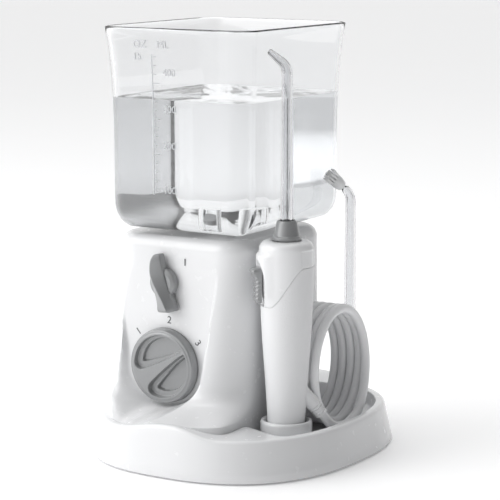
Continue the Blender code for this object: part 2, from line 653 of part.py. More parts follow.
def make_handle():
    axis = (HANDLE_X, HANDLE_Y, 0.0)
    up = (0, 0, 1)
    cup = ((9.3, TRAY_FLOOR + GAP), (11.6, TRAY_FLOOR + GAP), (11.2, 21.0), (10.8, 21.5), (9.3, 21.5))
    turned("handle_holder", cup, axis, up, WHITE_GLOSS, 28, closed=True)

    grip = ((5.6, 19.0), (5.6, 70.9), (11.85, 70.9), (11.2, 58.5), (10.45, 49.0), (9.8, 40.0), (9.2, 30.0))
    grip += ((8.5, 19.0), (8.1, 15.6), (7.2, 14.6))
    lower = turned("handle_grip", grip, axis, up, WHITE_TEXTURED, 28)
    hole_start = sleeve_point(1.5)
    cut_round(lower, "sleeve_hole", hole_start, SLEEVE_WAY, 3.9, 18.0, 20)

    head = ((8.4, 71.2), (11.9, 71.2), (12.35, 80.0), (12.6, 92.0), (12.5, 100.0), (11.9, 103.4))
    head += ((10.4, 104.9), (4.7, 104.9), (4.7, 101.5), (8.4, 101.5))
    upper = turned("handle_head", head, axis, up, WHITE_GLOSS, 28, closed=True)
    boolean(upper, radial_block("slider_slot", FACING, 75.5, 89.0, 6.0, 16.0, 3.8, WHITE_GLOSS))
    boolean(upper, radial_block("button_slot", -FACING, 90.4, 101.0, 6.0, 16.0, 9.6, WHITE_GLOSS))

    slider = radial_block("pause_slider", FACING, 76.4, 92.8, 12.95, 15.8, 6.4, GREY_CONTROL)
    stem = radial_block("slider_stem", FACING, 81.2, 87.6, 7.6, 13.6, 3.0, GREY_CONTROL)
    boolean(slider, stem, "UNION")
    spool = Vector(axis) + FACING * 5.2
    turned("pause_valve_spool", ((2.0, 78.0), (2.0, 92.0)), spool, up, GREY_PLASTIC, 14)
    radial_block("eject_button", -FACING, 90.9, 100.5, 10.4, 13.3, 8.8, WHITE_GLOSS)
    passage = Vector(axis) - FACING * 1.6
    turned("water_passage", ((2.9, 46.0), (2.9, 93.6)), passage, up, NATURAL_PLASTIC, 16)
    seal = ((3.6, 95.8), (4.9, 95.8), (4.9, 97.6), (3.6, 97.6))
    turned("tip_seal", seal, axis, up, RUBBER, 20, closed=True)

    collar = ((3.6, 98.9), (4.3, 98.9), (4.3, 105.2), (6.3, 105.2), (6.2, 106.2), (4.3, 114.0), (3.6, 114.1))
    turned("tip_collar", collar, axis, up, GREY_CONTROL, 24, closed=True)

    path, radii = tip_path(Vector(axis), FACING, 94.6, 180.0, 7.3)
    swept_pipe("jet_tip", path, radii, 0.55, CLEAR, 12, axis)

    sleeve = ((2.3, 9.2), (3.4, 9.2), (3.4, 20.0), (2.7, 25.9), (2.3, 25.9))
    length = SLEEVE_WAY.length
    turned("hose_strain_relief", sleeve, SLEEVE_START, SLEEVE_WAY, HOSE_WHITE, 16, closed=True)
    return sleeve_point(26.4 / length), sleeve_point(28.2 / length)


def tip_path(axis, facing, low, bend_start, straight):
    """A straight tube, a bend of fixed radius, then a straight taper to the jet."""
    path = []
    radii = []
    for share in (0.0, 0.25, 0.5, 0.75, 1.0):
        path.append(axis + Vector((0, 0, low + (bend_start - low) * share)))
        radii.append(3.3 - 0.8 * share)
    for step in range(1, 6):
        angle = math.radians(TIP_BEND_ANGLE * step / 5)
        rise = TIP_BEND_RADIUS * math.sin(angle)
        reach = TIP_BEND_RADIUS * (1.0 - math.cos(angle))
        path.append(axis + facing * reach + Vector((0, 0, bend_start + rise)))
        radii.append(2.5 - 0.1 * step)
    angle = math.radians(TIP_BEND_ANGLE)
    way = facing * math.sin(angle) + Vector((0, 0, math.cos(angle)))
    corner = path[-1]
    for share in (0.5, 1.0):
        path.append(corner + way * (straight * share))
        radii.append(2.0 - 0.85 * share)
    return path, radii


def make_stored_tip():
    axis = Vector((STORED_X, STORED_Y, 0.0))
    up = (0, 0, 1)
    post = ((4.2, TRAY_FLOOR + GAP), (4.0, 15.6), (1.6, 15.6), (1.5, 25.0))
    turned("tip_post", post, axis, up, WHITE_GLOSS, 18)
    path, radii = tip_path(axis, STORED_FACING, 16.2, 114.5, 1.4)
    swept_pipe("stored_tip_tube", path, radii, 0.58, CLEAR, 12, tuple(axis))
    angle = math.radians(TIP_BEND_ANGLE)
    way = STORED_FACING * math.sin(angle) + Vector((0, 0, math.cos(angle)))
    head = ((1.3, 0.4), (2.6, 1.2), (3.2, 4.0), (3.2, 8.5), (2.2, 11.2), (1.0, 12.0))
    turned("stored_brush_head", head, path[-1], way, WHITE_GLOSS, 16)


def make_hose(first_points):
    lead = [*first_points, (49.7, -5.0, 17.9), (50.4, 0.5, 15.3), (50.4, 7.0, 14.5), (49.7, 13.0, 14.5)]
    stations = ((-60, 48.8), (-30, 47.4), (0, 46.4), (30, 45.8), (60, 45.3), (90, 44.9), (120, 44.5),
                (150, 44.1), (180, 43.8), (210, 43.6), (240, 43.6), (262, 43.6))
    for degrees, x in stations:
        angle = math.radians(degrees)
        lead.append((x, LOOP_Y + LOOP_HALF_Y * math.cos(angle), LOOP_Z + LOOP_HALF_Z * math.sin(angle)))
    tube("hose_lead", smooth_curve(lead, 4), HOSE_RADIUS, HOSE_WHITE)

    rings = []
    low = COIL_LOW_X - HOSE_RADIUS
    high = COIL_LOW_X + COIL_PITCH * (COIL_TURNS - 1) + HOSE_RADIUS
    for reach, x in ((HOSE_RADIUS, low), (HOSE_RADIUS, high), (-HOSE_RADIUS, high), (-HOSE_RADIUS, low)):
        ring = []
        for step in range(40):
            angle = 2.0 * math.pi * step / 40
            y = COIL_Y + (COIL_HALF_Y + reach) * math.cos(angle)
            ring.append((x, y, COIL_Z + (COIL_HALF_Z + reach) * math.sin(angle)))
        rings.append(ring)
    lofted("hose_coil", rings, HOSE_WHITE, closed=True)

    tail = [(COIL_LOW_X, TAIL_START_Y + TAIL_STEP * step, TAIL_Z) for step in range(12)]
    tube("hose_tail", tail, HOSE_RADIUS, HOSE_WHITE)
    nose = ((3.6, 46.4), (3.9, 47.2), (3.9, 56.6))
    gland = turned("hose_gland", nose, (COIL_LOW_X, 0.0, GLAND_CENTRE_Z), (0, 1, 0), WHITE_GLOSS, 18)
    foot_low = (COIL_LOW_X - 3.0, 49.8, TRAY_FLOOR + GAP)
    stem = box("gland_foot", foot_low, (COIL_LOW_X + 3.0, 56.2, 16.0), WHITE_GLOSS)
    boolean(gland, stem, "UNION")


def main():
    clear_scene()
    make_base()
    make_bottom_cover()
    make_housing()
    make_controls()
    make_tank()
    make_pump()
    first_points = make_handle()
    make_stored_tip()
    make_hose(first_points)


main()
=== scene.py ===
"""The looks of a countertop water flosser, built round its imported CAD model.

Lengths are in millimetres and become metres where a mesh is made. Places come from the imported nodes' boxes.
-Y is the front with the controls, +X is the side with the handle and the hose, +Z is up.
"""

import json
from math import atan2, cos, pi, radians, sin, sqrt, tan

import bmesh
import bpy
import numpy as np
from mathutils import Matrix, Vector


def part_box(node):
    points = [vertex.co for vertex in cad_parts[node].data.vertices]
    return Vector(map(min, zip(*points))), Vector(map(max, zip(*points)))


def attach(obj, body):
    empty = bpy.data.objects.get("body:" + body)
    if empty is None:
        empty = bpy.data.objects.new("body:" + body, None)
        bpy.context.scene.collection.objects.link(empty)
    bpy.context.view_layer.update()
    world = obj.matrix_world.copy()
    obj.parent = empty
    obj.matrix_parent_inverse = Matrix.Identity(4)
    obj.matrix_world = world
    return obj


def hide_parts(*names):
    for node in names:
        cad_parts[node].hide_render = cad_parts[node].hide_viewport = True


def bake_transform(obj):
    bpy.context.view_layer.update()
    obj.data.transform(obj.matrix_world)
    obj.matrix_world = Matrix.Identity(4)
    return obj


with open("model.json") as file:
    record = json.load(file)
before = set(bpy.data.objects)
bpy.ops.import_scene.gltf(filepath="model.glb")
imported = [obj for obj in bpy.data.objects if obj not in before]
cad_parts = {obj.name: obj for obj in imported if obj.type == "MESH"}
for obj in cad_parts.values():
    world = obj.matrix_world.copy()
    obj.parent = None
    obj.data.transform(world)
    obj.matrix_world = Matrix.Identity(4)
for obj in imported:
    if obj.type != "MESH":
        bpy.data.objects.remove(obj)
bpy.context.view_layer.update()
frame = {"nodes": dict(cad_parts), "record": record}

MM = 0.001
UP = Vector((0.0, 0.0, 1.0))


def span(node):
    """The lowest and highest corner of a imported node, in millimetres."""
    low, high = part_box(node)
    return low / MM, high / MM


def middle(node):
    low, high = span(node)
    return (low + high) / 2


FOOT_HIGH = span("base_foot")[1]
HOUSE_LOW, HOUSE_HIGH = span("body_housing")
TANK_LOW, TANK_HIGH = span("reservoir")
TANK = middle("reservoir")
TANK_SPREAD = 2.9
TANK_CORNER = 10.0
TANK_WALL = 1.8
TANK_FLARE_START = 125.0
WATER_LEVEL = 167.0
VALVE_HOLE = 6.7
FOOT_START_INSET = 0.378
FOOT_HALF_X, FOOT_HALF_Y = 64.5, 74.0
FOOT_POWER = 2.5
FOOT_LEAN = 0.21
LIP_HIGH = 24.0
LIP_FALL = 4.6
LIP_BAND = 3.2
TRAY_FLOOR = 12.0
TRAY_UNDERSIDE = 9.3
HOUSE_LEFT, HOUSE_RIGHT, HOUSE_FRONT, HOUSE_BACK = -54.0, 20.0, -33.5, 47.0
HOUSE_WALL = 2.4
FLARE_TOP, FLARE_BOTTOM = 40.0, 23.0
FLARE_FRONT, FLARE_RIGHT = 20.0, 6.0
FLARE_POWER = 4.2
SHIELD_RADIUS = 21.2
PANEL_Y = -33.8
PANEL_X = middle("power_knob").x
KNOB_Z = 82.0
DIAL = middle("pressure_dial")
DIAL_FACE_Y = span("pressure_dial")[0].y
DIAL_RADIUS = 17.8
DIAL_REST_DEGREES = 57.0
HANDLE = middle("handle_head")
HANDLE_AXIS = Vector((HANDLE.x, HANDLE.y, 0.0))
HANDLE_FOOT = 14.6
HEAD_EDGE = 101.2
FACING = Vector((-sqrt(0.5), -sqrt(0.5), 0.0))


# ---- shape helpers


def smooth_step(value):
    value = np.clip(value, 0.0, 1.0)
    return value * value * (3.0 - 2.0 * value)


def at_height(flat, height):
    return np.column_stack([flat, np.full(len(flat), height)])


def link(name, data):
    obj = bpy.data.objects.new(name, data)
    bpy.context.scene.collection.objects.link(obj)
    return obj


def level_circle(centre, radius, turns, height):
    flat = np.column_stack([centre.x + radius * np.cos(turns), centre.y + radius * np.sin(turns)])
    return at_height(flat, height)


def weld(mesh, change):
    """Joins points that lie together, then applies a change to the mesh."""
    cleaner = bmesh.new()
    cleaner.from_mesh(mesh)
    bmesh.ops.remove_doubles(cleaner, verts=cleaner.verts, dist=1e-7)
    change(cleaner)
    cleaner.to_mesh(mesh)
    cleaner.free()


def add_mesh(name, points, faces, finish, sharp=40.0):
    """A mesh built in millimetres, smooth up to the given angle, with its faces pointing out."""
    mesh = bpy.data.meshes.new(name)
    mesh.from_pydata([tuple(point) for point in np.asarray(points, float) * MM], [], faces)
    weld(mesh, lambda cleaner: bmesh.ops.recalc_face_normals(cleaner, faces=cleaner.faces))
    mesh.shade_smooth()
    mesh.set_sharp_from_angle(angle=radians(sharp))
    mesh.materials.append(finish)
    return link(name, mesh)


def skin(name, rings, finish, sharp=40.0, loop=False):
    """A surface through closed rings. A loop of rings closes on itself, and others get end caps."""
    rings = np.asarray(rings, float)
    rows, columns = rings.shape[:2]
    points = rings.reshape(-1, 3)
    faces = []
    for row in range(rows if loop else rows - 1):
        above = (row + 1) % rows
        for column in range(columns):
            after = (column + 1) % columns
            lower, upper = row * columns, above * columns
            faces.append((lower + column, lower + after, upper + after, upper + column))
    if not loop:
        for row in (0, rows - 1):
            centre = len(points)
            points = np.vstack([points, rings[row].mean(axis=0)])
            faces += [(row * columns + c, row * columns + (c + 1) % columns, centre) for c in range(columns)]
    return add_mesh(name, points, faces, finish, sharp)


def rounded(corners, steps=5):
    """A polyline of (radius, height, fillet) corners with each corner rounded to its fillet."""
    found = []
    for index, (x, y, fillet) in enumerate(corners):
        here = Vector((x, y))
        if fillet <= 0.0 or index in (0, len(corners) - 1):
            found.append(here)
            continue
        back = Vector(corners[index - 1][:2]) - here
        ahead = Vector(corners[index + 1][:2]) - here
        half = back.angle(ahead) / 2
        reach = min(fillet / tan(half), 0.49 * back.length, 0.49 * ahead.length)
        start = here + back.normalized() * reach
        stop = here + ahead.normalized() * reach
        for step in range(steps + 1):
            t = step / steps
            found.append(start * (1 - t) ** 2 + here * 2 * t * (1 - t) + stop * t * t)
    return found


def full_turn(count):
    return np.arange(count) * 2.0 * pi / count


def circle(centre, side, other, radius, steps):
    turns = [2.0 * pi * step / steps for step in range(steps)]
    return [centre + (side * cos(a) + other * sin(a)) * radius for a in turns]


def frame_for(axis):
    axis = Vector(axis).normalized()
    helper = UP if abs(axis.z) < 0.9 else Vector((0.0, 1.0, 0.0))
    side = axis.cross(helper).normalized()
    return side, side.cross(axis).normalized()


def turned(name, profile, centre, axis, finish, steps=72, loop=False, sharp=40.0):
    """Turns (radius, distance along the axis) pairs round an axis through centre."""
    side, other = frame_for(axis)
    direction = Vector(axis).normalized()
    centre = Vector(centre)
    rings = [circle(centre + direction * along, side, other, radius, steps) for radius, along in profile]
    return skin(name, rings, finish, sharp, loop)


def ribs(start, pitch, radius, fall, depth, steps):
    """Four ribs for a turned profile, each thinner than the last."""
    before, rise, stop = steps
    found = []
    for number in range(4):
        low, outer = start + pitch * number, radius - fall * number
        found += [(outer - depth, low + before), (outer - depth, low)]
        found += [(outer, low + rise), (outer, low + stop)]
    return found


def smooth_curve(points, pieces):
    """A Catmull-Rom curve through the points, with the given number of pieces between each two."""
    points = [Vector(point) for point in points]
    ends = [points[0] * 2 - points[1]] + points + [points[-1] * 2 - points[-2]]
    found = []
    for index in range(1, len(ends) - 2):
        before, start, stop, after = ends[index - 1 : index + 3]
        for piece in range(pieces):
            t = piece / pieces
            linear = (stop - before) * t
            square = (before * 2 - start * 5 + stop * 4 - after) * t**2
            cube = (start * 3 - before - stop * 3 + after) * t**3
            found.append((start * 2 + linear + square + cube) / 2)
    found.append(points[-1])
    return found


def swept_rings(path, radii, steps, start_side=None):
    """Rings square to a path, carried along it without twist."""
    path = [Vector(point) for point in path]
    rings = []
    side = start_side
    for index, point in enumerate(path):
        before = path[max(index - 1, 0)]
        after = path[min(index + 1, len(path) - 1)]
        along = (after - before).normalized()
        if side is None:
            side = frame_for(along)[0]
        side = (side - along * side.dot(along)).normalized()
        rings.append(circle(point, side, along.cross(side), radii[index], steps))
    return rings


def rounded_box_outline(left, right, front, back, front_radius, back_radius, counts):
    """Counter-clockwise from above: front, right, back and left sides with quarter rounds between them."""
    front_count, side_count, back_count, front_corner, back_corner = counts
    corners = (
        (right - front_radius, front + front_radius, front_radius, front_count, front_corner),
        (right - back_radius, back - back_radius, back_radius, side_count, back_corner),
        (left + back_radius, back - back_radius, back_radius, back_count, back_corner),
        (left + front_radius, front + front_radius, front_radius, side_count, front_corner),
    )
    points = []
    start = np.array([left + front_radius, front])
    for number, (x, y, radius, side_steps, steps) in enumerate(corners):
        angles = np.radians(270.0 + 90.0 * number + 90.0 * np.arange(steps + 1) / steps)
        arc = np.column_stack([x + radius * np.cos(angles), y + radius * np.sin(angles)])
        points += [start + (arc[0] - start) * step / side_steps for step in range(side_steps)]
        points += list(arc[:-1])
        start = arc[-1]
    return np.array(points)


def outline_distance(points, outline):
    """Distance of each point to a closed outline, negative inside it."""
    nearest = np.full(len(points), 1e9)
    inside = np.zeros(len(points), bool)
    for start, stop in zip(outline, np.roll(outline, -1, axis=0)):
        edge = stop - start
        along = np.clip(((points - start) @ edge) / (edge @ edge), 0.0, 1.0)
        nearest = np.minimum(nearest, np.linalg.norm(points - start - along[:, None] * edge, axis=1))
        crosses = (start[1] > points[:, 1]) != (stop[1] > points[:, 1])
        rise = edge[1] if abs(edge[1]) > 1e-12 else 1e-12
        inside ^= crosses & (points[:, 0] < start[0] + edge[0] * (points[:, 1] - start[1]) / rise)
    return np.where(inside, -nearest, nearest)


def ray_reach(centre, directions, outline):
    """How far each ray from centre goes to the furthest edge of a closed outline, 0 if it misses."""
    outline = np.asarray(outline, float)
    reach = np.zeros(len(directions))
    for start, stop in zip(outline, np.roll(outline, -1, axis=0)):
        edge = stop - start
        gap = start - centre
        cross = directions[:, 0] * edge[1] - directions[:, 1] * edge[0]
        cross = np.where(np.abs(cross) < 1e-12, 1e-12, cross)
        along_ray = (gap[0] * edge[1] - gap[1] * edge[0]) / cross
        along_edge = (gap[0] * directions[:, 1] - gap[1] * directions[:, 0]) / cross
        hit = (along_edge >= -1e-9) & (along_edge <= 1 + 1e-9) & (along_ray > 0)
        reach = np.where(hit, np.maximum(reach, along_ray), reach)
    return reach


def show(piece, body, slot, *nodes):
    """The piece rides on a body and stands for the given CAD nodes, which it hides; the slot argument is not
    used.
    """
    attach(piece, body)
    if nodes:
        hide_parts(*nodes)
    return piece


# ---- materials


def new_material(name):
    made = bpy.data.materials.new(name)
    made.use_nodes = True
    nodes, links = made.node_tree.nodes, made.node_tree.links
    place = nodes.new("ShaderNodeTexCoord").outputs["Object"]
    return made, nodes, links, nodes["Principled BSDF"], place


def preset(node, values):
    for name, value in values.items():
        node.inputs[name].default_value = value


def noise(nodes, links, source, scale, detail=3.0):
    texture = nodes.new("ShaderNodeTexNoise")
    preset(texture, {"Scale": scale, "Detail": detail})
    links.new(source, texture.inputs["Vector"])
    return texture.outputs["Fac"]


def ranged(nodes, links, source, low, high):
    step = nodes.new("ShaderNodeMapRange")
    preset(step, {"From Min": 0.3, "From Max": 0.7, "To Min": low, "To Max": high})
    links.new(source, step.inputs["Value"])
    return step.outputs["Result"]


def tint(nodes, links, source, shader, first, second):
    mix = nodes.new("ShaderNodeMix")
    mix.data_type = "RGBA"
    preset(mix, {"A": (*first, 1.0), "B": (*second, 1.0)})
    links.new(source, mix.inputs["Factor"])
    links.new(mix.outputs["Result"], shader.inputs["Base Color"])


def bumped(nodes, links, source, shader, strength, distance):
    bump = nodes.new("ShaderNodeBump")
    preset(bump, {"Strength": strength, "Distance": distance})
    links.new(source, bump.inputs["Height"])
    links.new(bump.outputs["Normal"], shader.inputs["Normal"])


def moulded(name, colour, roughness, spread, grain, strength, coat=0.0, metallic=0.0):
    """Moulded plastic or metal: a faint drift of tone, uneven gloss and a fine surface grain."""
    made, nodes, links, shader, place = new_material(name)
    drift = noise(nodes, links, place, 35.0)
    darker = tuple(channel * 0.965 for channel in colour)
    tint(nodes, links, drift, shader, darker, colour)
    gloss = noise(nodes, links, place, 220.0, 4.0)
    links.new(ranged(nodes, links, gloss, roughness - spread, roughness + spread), shader.inputs["Roughness"])
    bumped(nodes, links, noise(nodes, links, place, grain, 2.0), shader, strength, 0.0001)
    preset(shader, {"Metallic": metallic, "Coat Weight": coat, "Coat Roughness": 0.08})
    return made


def clear(name, colour, ior, roughness):
    """Clear plastic or water, with slight unevenness in its polish."""
    made, nodes, links, shader, place = new_material(name)
    drift = noise(nodes, links, place, 30.0)
    fainter = tuple(channel * 0.985 for channel in colour)
    tint(nodes, links, drift, shader, fainter, colour)
    polish = noise(nodes, links, place, 90.0)
    links.new(ranged(nodes, links, polish, 0.0, roughness), shader.inputs["Roughness"])
    preset(shader, {"Transmission Weight": 1.0, "IOR": ior})
    return made


WHITE = moulded("white_gloss_plastic", (0.80, 0.805, 0.815), 0.24, 0.04, 900.0, 0.05, coat=0.25)
TEXTURED = moulded("white_grip_texture", (0.79, 0.795, 0.805), 0.46, 0.05, 1300.0, 0.95)
GREY = moulded("grey_control_plastic", (0.30, 0.305, 0.31), 0.32, 0.04, 1800.0, 0.05, 0.25, 0.25)
PAINT = moulded("printed_grey_ink", (0.10, 0.105, 0.11), 0.5, 0.05, 2500.0, 0.1)
HOSE = moulded("soft_hose_plastic", (0.86, 0.865, 0.875), 0.38, 0.04, 1200.0, 0.08)
BRUSH = moulded("white_bristles", (0.94, 0.945, 0.95), 0.5, 0.05, 3000.0, 0.4)
CLEAR = clear("clear_tank_plastic", (0.965, 0.97, 0.975), 1.49, 0.03)
CLEAR_TIP = clear("clear_tip_plastic", (0.84, 0.845, 0.855), 1.49, 0.04)
CLEAR_MARK = moulded("frosted_mark", (0.62, 0.63, 0.65), 0.4, 0.05, 2500.0, 0.2)
WATER = clear("water", (0.965, 0.97, 0.975), 1.33, 0.0)

FINISH_OF_SLOT = {
    "gloss_white": WHITE,
    "textured_white": TEXTURED,
    "control_grey": GREY,
    "inner_grey": moulded("inner_grey_plastic", (0.36, 0.365, 0.38), 0.45, 0.06, 1500.0, 0.2),
    "clear": CLEAR,
    "clear_tip": CLEAR_TIP,
    "clear_tube": moulded("milky_tube", (0.72, 0.74, 0.76), 0.3, 0.05, 1000.0, 0.05),
    "black_plastic": moulded("black_switch_plastic", (0.02, 0.02, 0.022), 0.45, 0.08, 1400.0, 0.2),
    "rubber": moulded("black_rubber", (0.03, 0.03, 0.03), 0.75, 0.08, 1600.0, 0.5),
    "steel": moulded("brushed_steel", (0.58, 0.58, 0.59), 0.3, 0.08, 2200.0, 0.25, metallic=1.0),
    "brass": moulded("machined_brass", (0.72, 0.55, 0.26), 0.3, 0.06, 2000.0, 0.2, metallic=1.0),
    "natural_plastic": moulded("natural_acetal", (0.74, 0.73, 0.68), 0.4, 0.05, 1300.0, 0.1),
    "hose_white": HOSE,
    "circuit_board": moulded("green_board", (0.02, 0.16, 0.06), 0.4, 0.08, 1200.0, 0.3),
}


def finish_cad_nodes():
    for entry in frame["record"]["subparts"]:
        node = frame["nodes"][entry["node"]]
        node.data.materials.clear()
        node.data.materials.append(FINISH_OF_SLOT[entry["material_slot"]])


# ---- camera, floor and light


def aim(obj, place, way):
    obj.location = place
    obj.rotation_mode = "QUATERNION"
    obj.rotation_quaternion = way.to_track_quat("-Z", "Y")


def make_stage():
    camera = bpy.data.cameras.new("camera")
    camera.sensor_width = 36.0
    camera.lens = 151.06
    camera.clip_end = 20.0
    holder = link("camera", camera)
    azimuth = radians(32.0)
    pitch = radians(9.41)
    level = cos(pitch)
    way = Vector((-sin(azimuth) * level, cos(azimuth) * level, -sin(pitch)))
    aim(holder, (0.5209, -0.8286, 0.2564), way)
    bpy.context.scene.camera = holder

    floor_finish, nodes, links, shader, place = new_material("pale_floor")
    drift = noise(nodes, links, place, 3.0)
    tint(nodes, links, drift, shader, (0.95, 0.95, 0.955), (0.97, 0.97, 0.975))
    preset(shader, {"Roughness": 0.6, "Emission Color": (1.0,) * 4, "Emission Strength": 0.12})
    mesh = bpy.data.meshes.new("floor")
    corners = [(-6, -6, 0), (6, -6, 0), (6, 6, 0), (-6, 6, 0)]
    mesh.from_pydata(corners, [], [(0, 1, 2, 3)])
    mesh.materials.append(floor_finish)
    floor = link("floor", mesh)

    soft_box("key_light", (-0.85, -0.80, 0.75), (0.0, 0.0, 0.09), 1.1, 9.0)
    soft_box("top_light", (-0.2, 0.1, 1.25), (0.0, 0.0, 0.1), 0.7, 3.0)
    make_world()
    bpy.context.scene.view_settings.view_transform = "Standard"


def make_world():
    """A white room that is darker on the machine's right, so its right-hand sides read grey."""
    world = bpy.data.worlds.new("studio")
    world.use_nodes = True
    nodes, links = world.node_tree.nodes, world.node_tree.links
    way = nodes.new("ShaderNodeTexCoord").outputs["Generated"]
    toward = nodes.new("ShaderNodeVectorMath")
    toward.operation = "DOT_PRODUCT"
    toward.inputs[1].default_value = (0.985, -0.15, 0.08)
    links.new(way, toward.inputs[0])
    step = nodes.new("ShaderNodeMapRange")
    step.interpolation_type = "SMOOTHSTEP"
    preset(step, {"From Min": -0.1, "From Max": 0.6, "To Min": 1.0, "To Max": 0.17})
    links.new(toward.outputs["Value"], step.inputs["Value"])
    background = nodes["Background"]
    links.new(step.outputs["Result"], background.inputs["Color"])
    background.inputs["Strength"].default_value = 1.05
    bpy.context.scene.world = world


def soft_box(name, place, target, size, power):
    light = bpy.data.lights.new(name, "AREA")
    light.shape = "SQUARE"
    light.size = size
    light.energy = power
    obj = link(name, light)
    obj.visible_transmission = False
    aim(obj, place, Vector(target) - Vector(place))


# ---- hose

HOSE_RADIUS = 2.2
SLEEVE_START = Vector((36.0, -21.0, 42.6))
SLEEVE_WAY = Vector((0.707, 0.707, -1.17)).normalized()
LOOP = np.array([12.9, 41.5, 22.0, 27.0])
COIL = np.array([14.0, 41.3, 22.5, 26.7])
LEAD_END_X = 43.6
COIL_LOW_X = 25.65
TAIL_Z = 14.6
TAIL_END_Y = 46.1
LEAD_END_DEGREES = 262.0
COIL_END_DEGREES = 270.0 + 4 * 360.0


def oval_point(x, oval, degrees):
    """A point on a turn of the hose. The oval is its centre's y and z and its half sizes."""
    y, z, half_y, half_z = oval
    angle = radians(degrees)
    return x, y + half_y * cos(angle), z + half_z * sin(angle)


def hose_path():
    """From the sleeve to the tray, round the loose outer loop and four turns, and to the gland."""
    points = [SLEEVE_START + SLEEVE_WAY * 26.4, SLEEVE_START + SLEEVE_WAY * 28.2]
    points += [(49.7, -5.0, 17.9), (50.4, 0.5, 15.3), (50.4, 7.0, 14.5), (49.7, 13.0, 14.5)]
    stations = ((-60, 48.8), (-30, 47.4), (0, 46.4), (30, 45.8), (60, 45.3), (90, 44.9), (120, 44.5),
                (150, 44.1), (180, 43.8), (210, 43.6), (240, LEAD_END_X), (LEAD_END_DEGREES, LEAD_END_X))
    points += [oval_point(x, LOOP, degrees) for degrees, x in stations]
    steps = 64
    for step in range(1, steps + 1):
        share = step / steps
        degrees = LEAD_END_DEGREES + (COIL_END_DEGREES - LEAD_END_DEGREES) * share
        oval = LOOP + (COIL - LOOP) * float(smooth_step(share * 12.0))
        points.append(oval_point(LEAD_END_X + (COIL_LOW_X - LEAD_END_X) * share, oval, degrees))
    points += [(COIL_LOW_X, y, TAIL_Z) for y in (20.0, 26.0, 32.0, 38.0, 43.0, TAIL_END_Y)]
    return smooth_curve(points, 6)


def make_hose():
    path = hose_path()
    rings = swept_rings(path, [HOSE_RADIUS] * len(path), 20)
    hose = skin("hose", rings, HOSE, sharp=50.0)
    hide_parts("hose_lead", "hose_coil", "hose_tail")
    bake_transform(hose)


# ---- base


def foot_outline(inset, count=400):
    """The base's plan, a superellipse."""
    turns = full_turn(count)
    c, s = np.cos(turns), np.sin(turns)
    x = (FOOT_HIGH.x - inset + FOOT_START_INSET) * np.sign(c) * np.abs(c) ** (2.0 / FOOT_POWER)
    y = (FOOT_HIGH.y - inset + FOOT_START_INSET) * np.sign(s) * np.abs(s) ** (2.0 / FOOT_POWER)
    return np.stack([x, y], axis=1)


def lip_height(x):
    """The lip swells in a wave below the controls and is lower on both sides."""
    return LIP_HIGH - LIP_FALL * (smooth_step((x - 4.0) / 24.0) + smooth_step((2.0 - x) / 36.0))


def housing_outline(height, inset=0.0):
    """The housing's plan: it bulges to the front lower down and flares out to the lip at its foot."""
    low = min(max((95.0 - height) / 78.0, 0.0), 1.0)
    plain = rounded_box_outline(
        HOUSE_LEFT - 1.2 * low + inset,
        HOUSE_RIGHT + 0.9 * low - inset,
        HOUSE_FRONT - 13.0 * low**1.4 + inset,
        HOUSE_BACK - inset,
        15.0 + 7.0 * low - inset,
        18.0 - inset,
        (60, 24, 24, 40, 16),
    )
    flare = min(max((FLARE_TOP - height) / (FLARE_TOP - FLARE_BOTTOM), 0.0), 1.0) ** FLARE_POWER
    to_right = smooth_step(plain[:, 0] / 18.0) * smooth_step((-16.0 - plain[:, 1]) / 24.0)
    x = plain[:, 0] + FLARE_RIGHT * flare * to_right
    y = plain[:, 1] - FLARE_FRONT * flare * smooth_step((-8.0 - plain[:, 1]) / 28.0)
    margin = FOOT_LEAN * min(height, LIP_HIGH) + LIP_BAND + inset
    reach = (np.abs(x) / (FOOT_HALF_X - margin)) ** FOOT_POWER
    reach = reach + (np.abs(y) / (FOOT_HALF_Y - margin)) ** FOOT_POWER
    closer = 1.0 - (1.0 - np.maximum(reach, 1.0) ** (-1.0 / FOOT_POWER)) * min(8.0 * flare, 1.0)
    pull = np.where(y > 0.0, 1.0, closer)
    return np.column_stack([x * pull, y * pull])


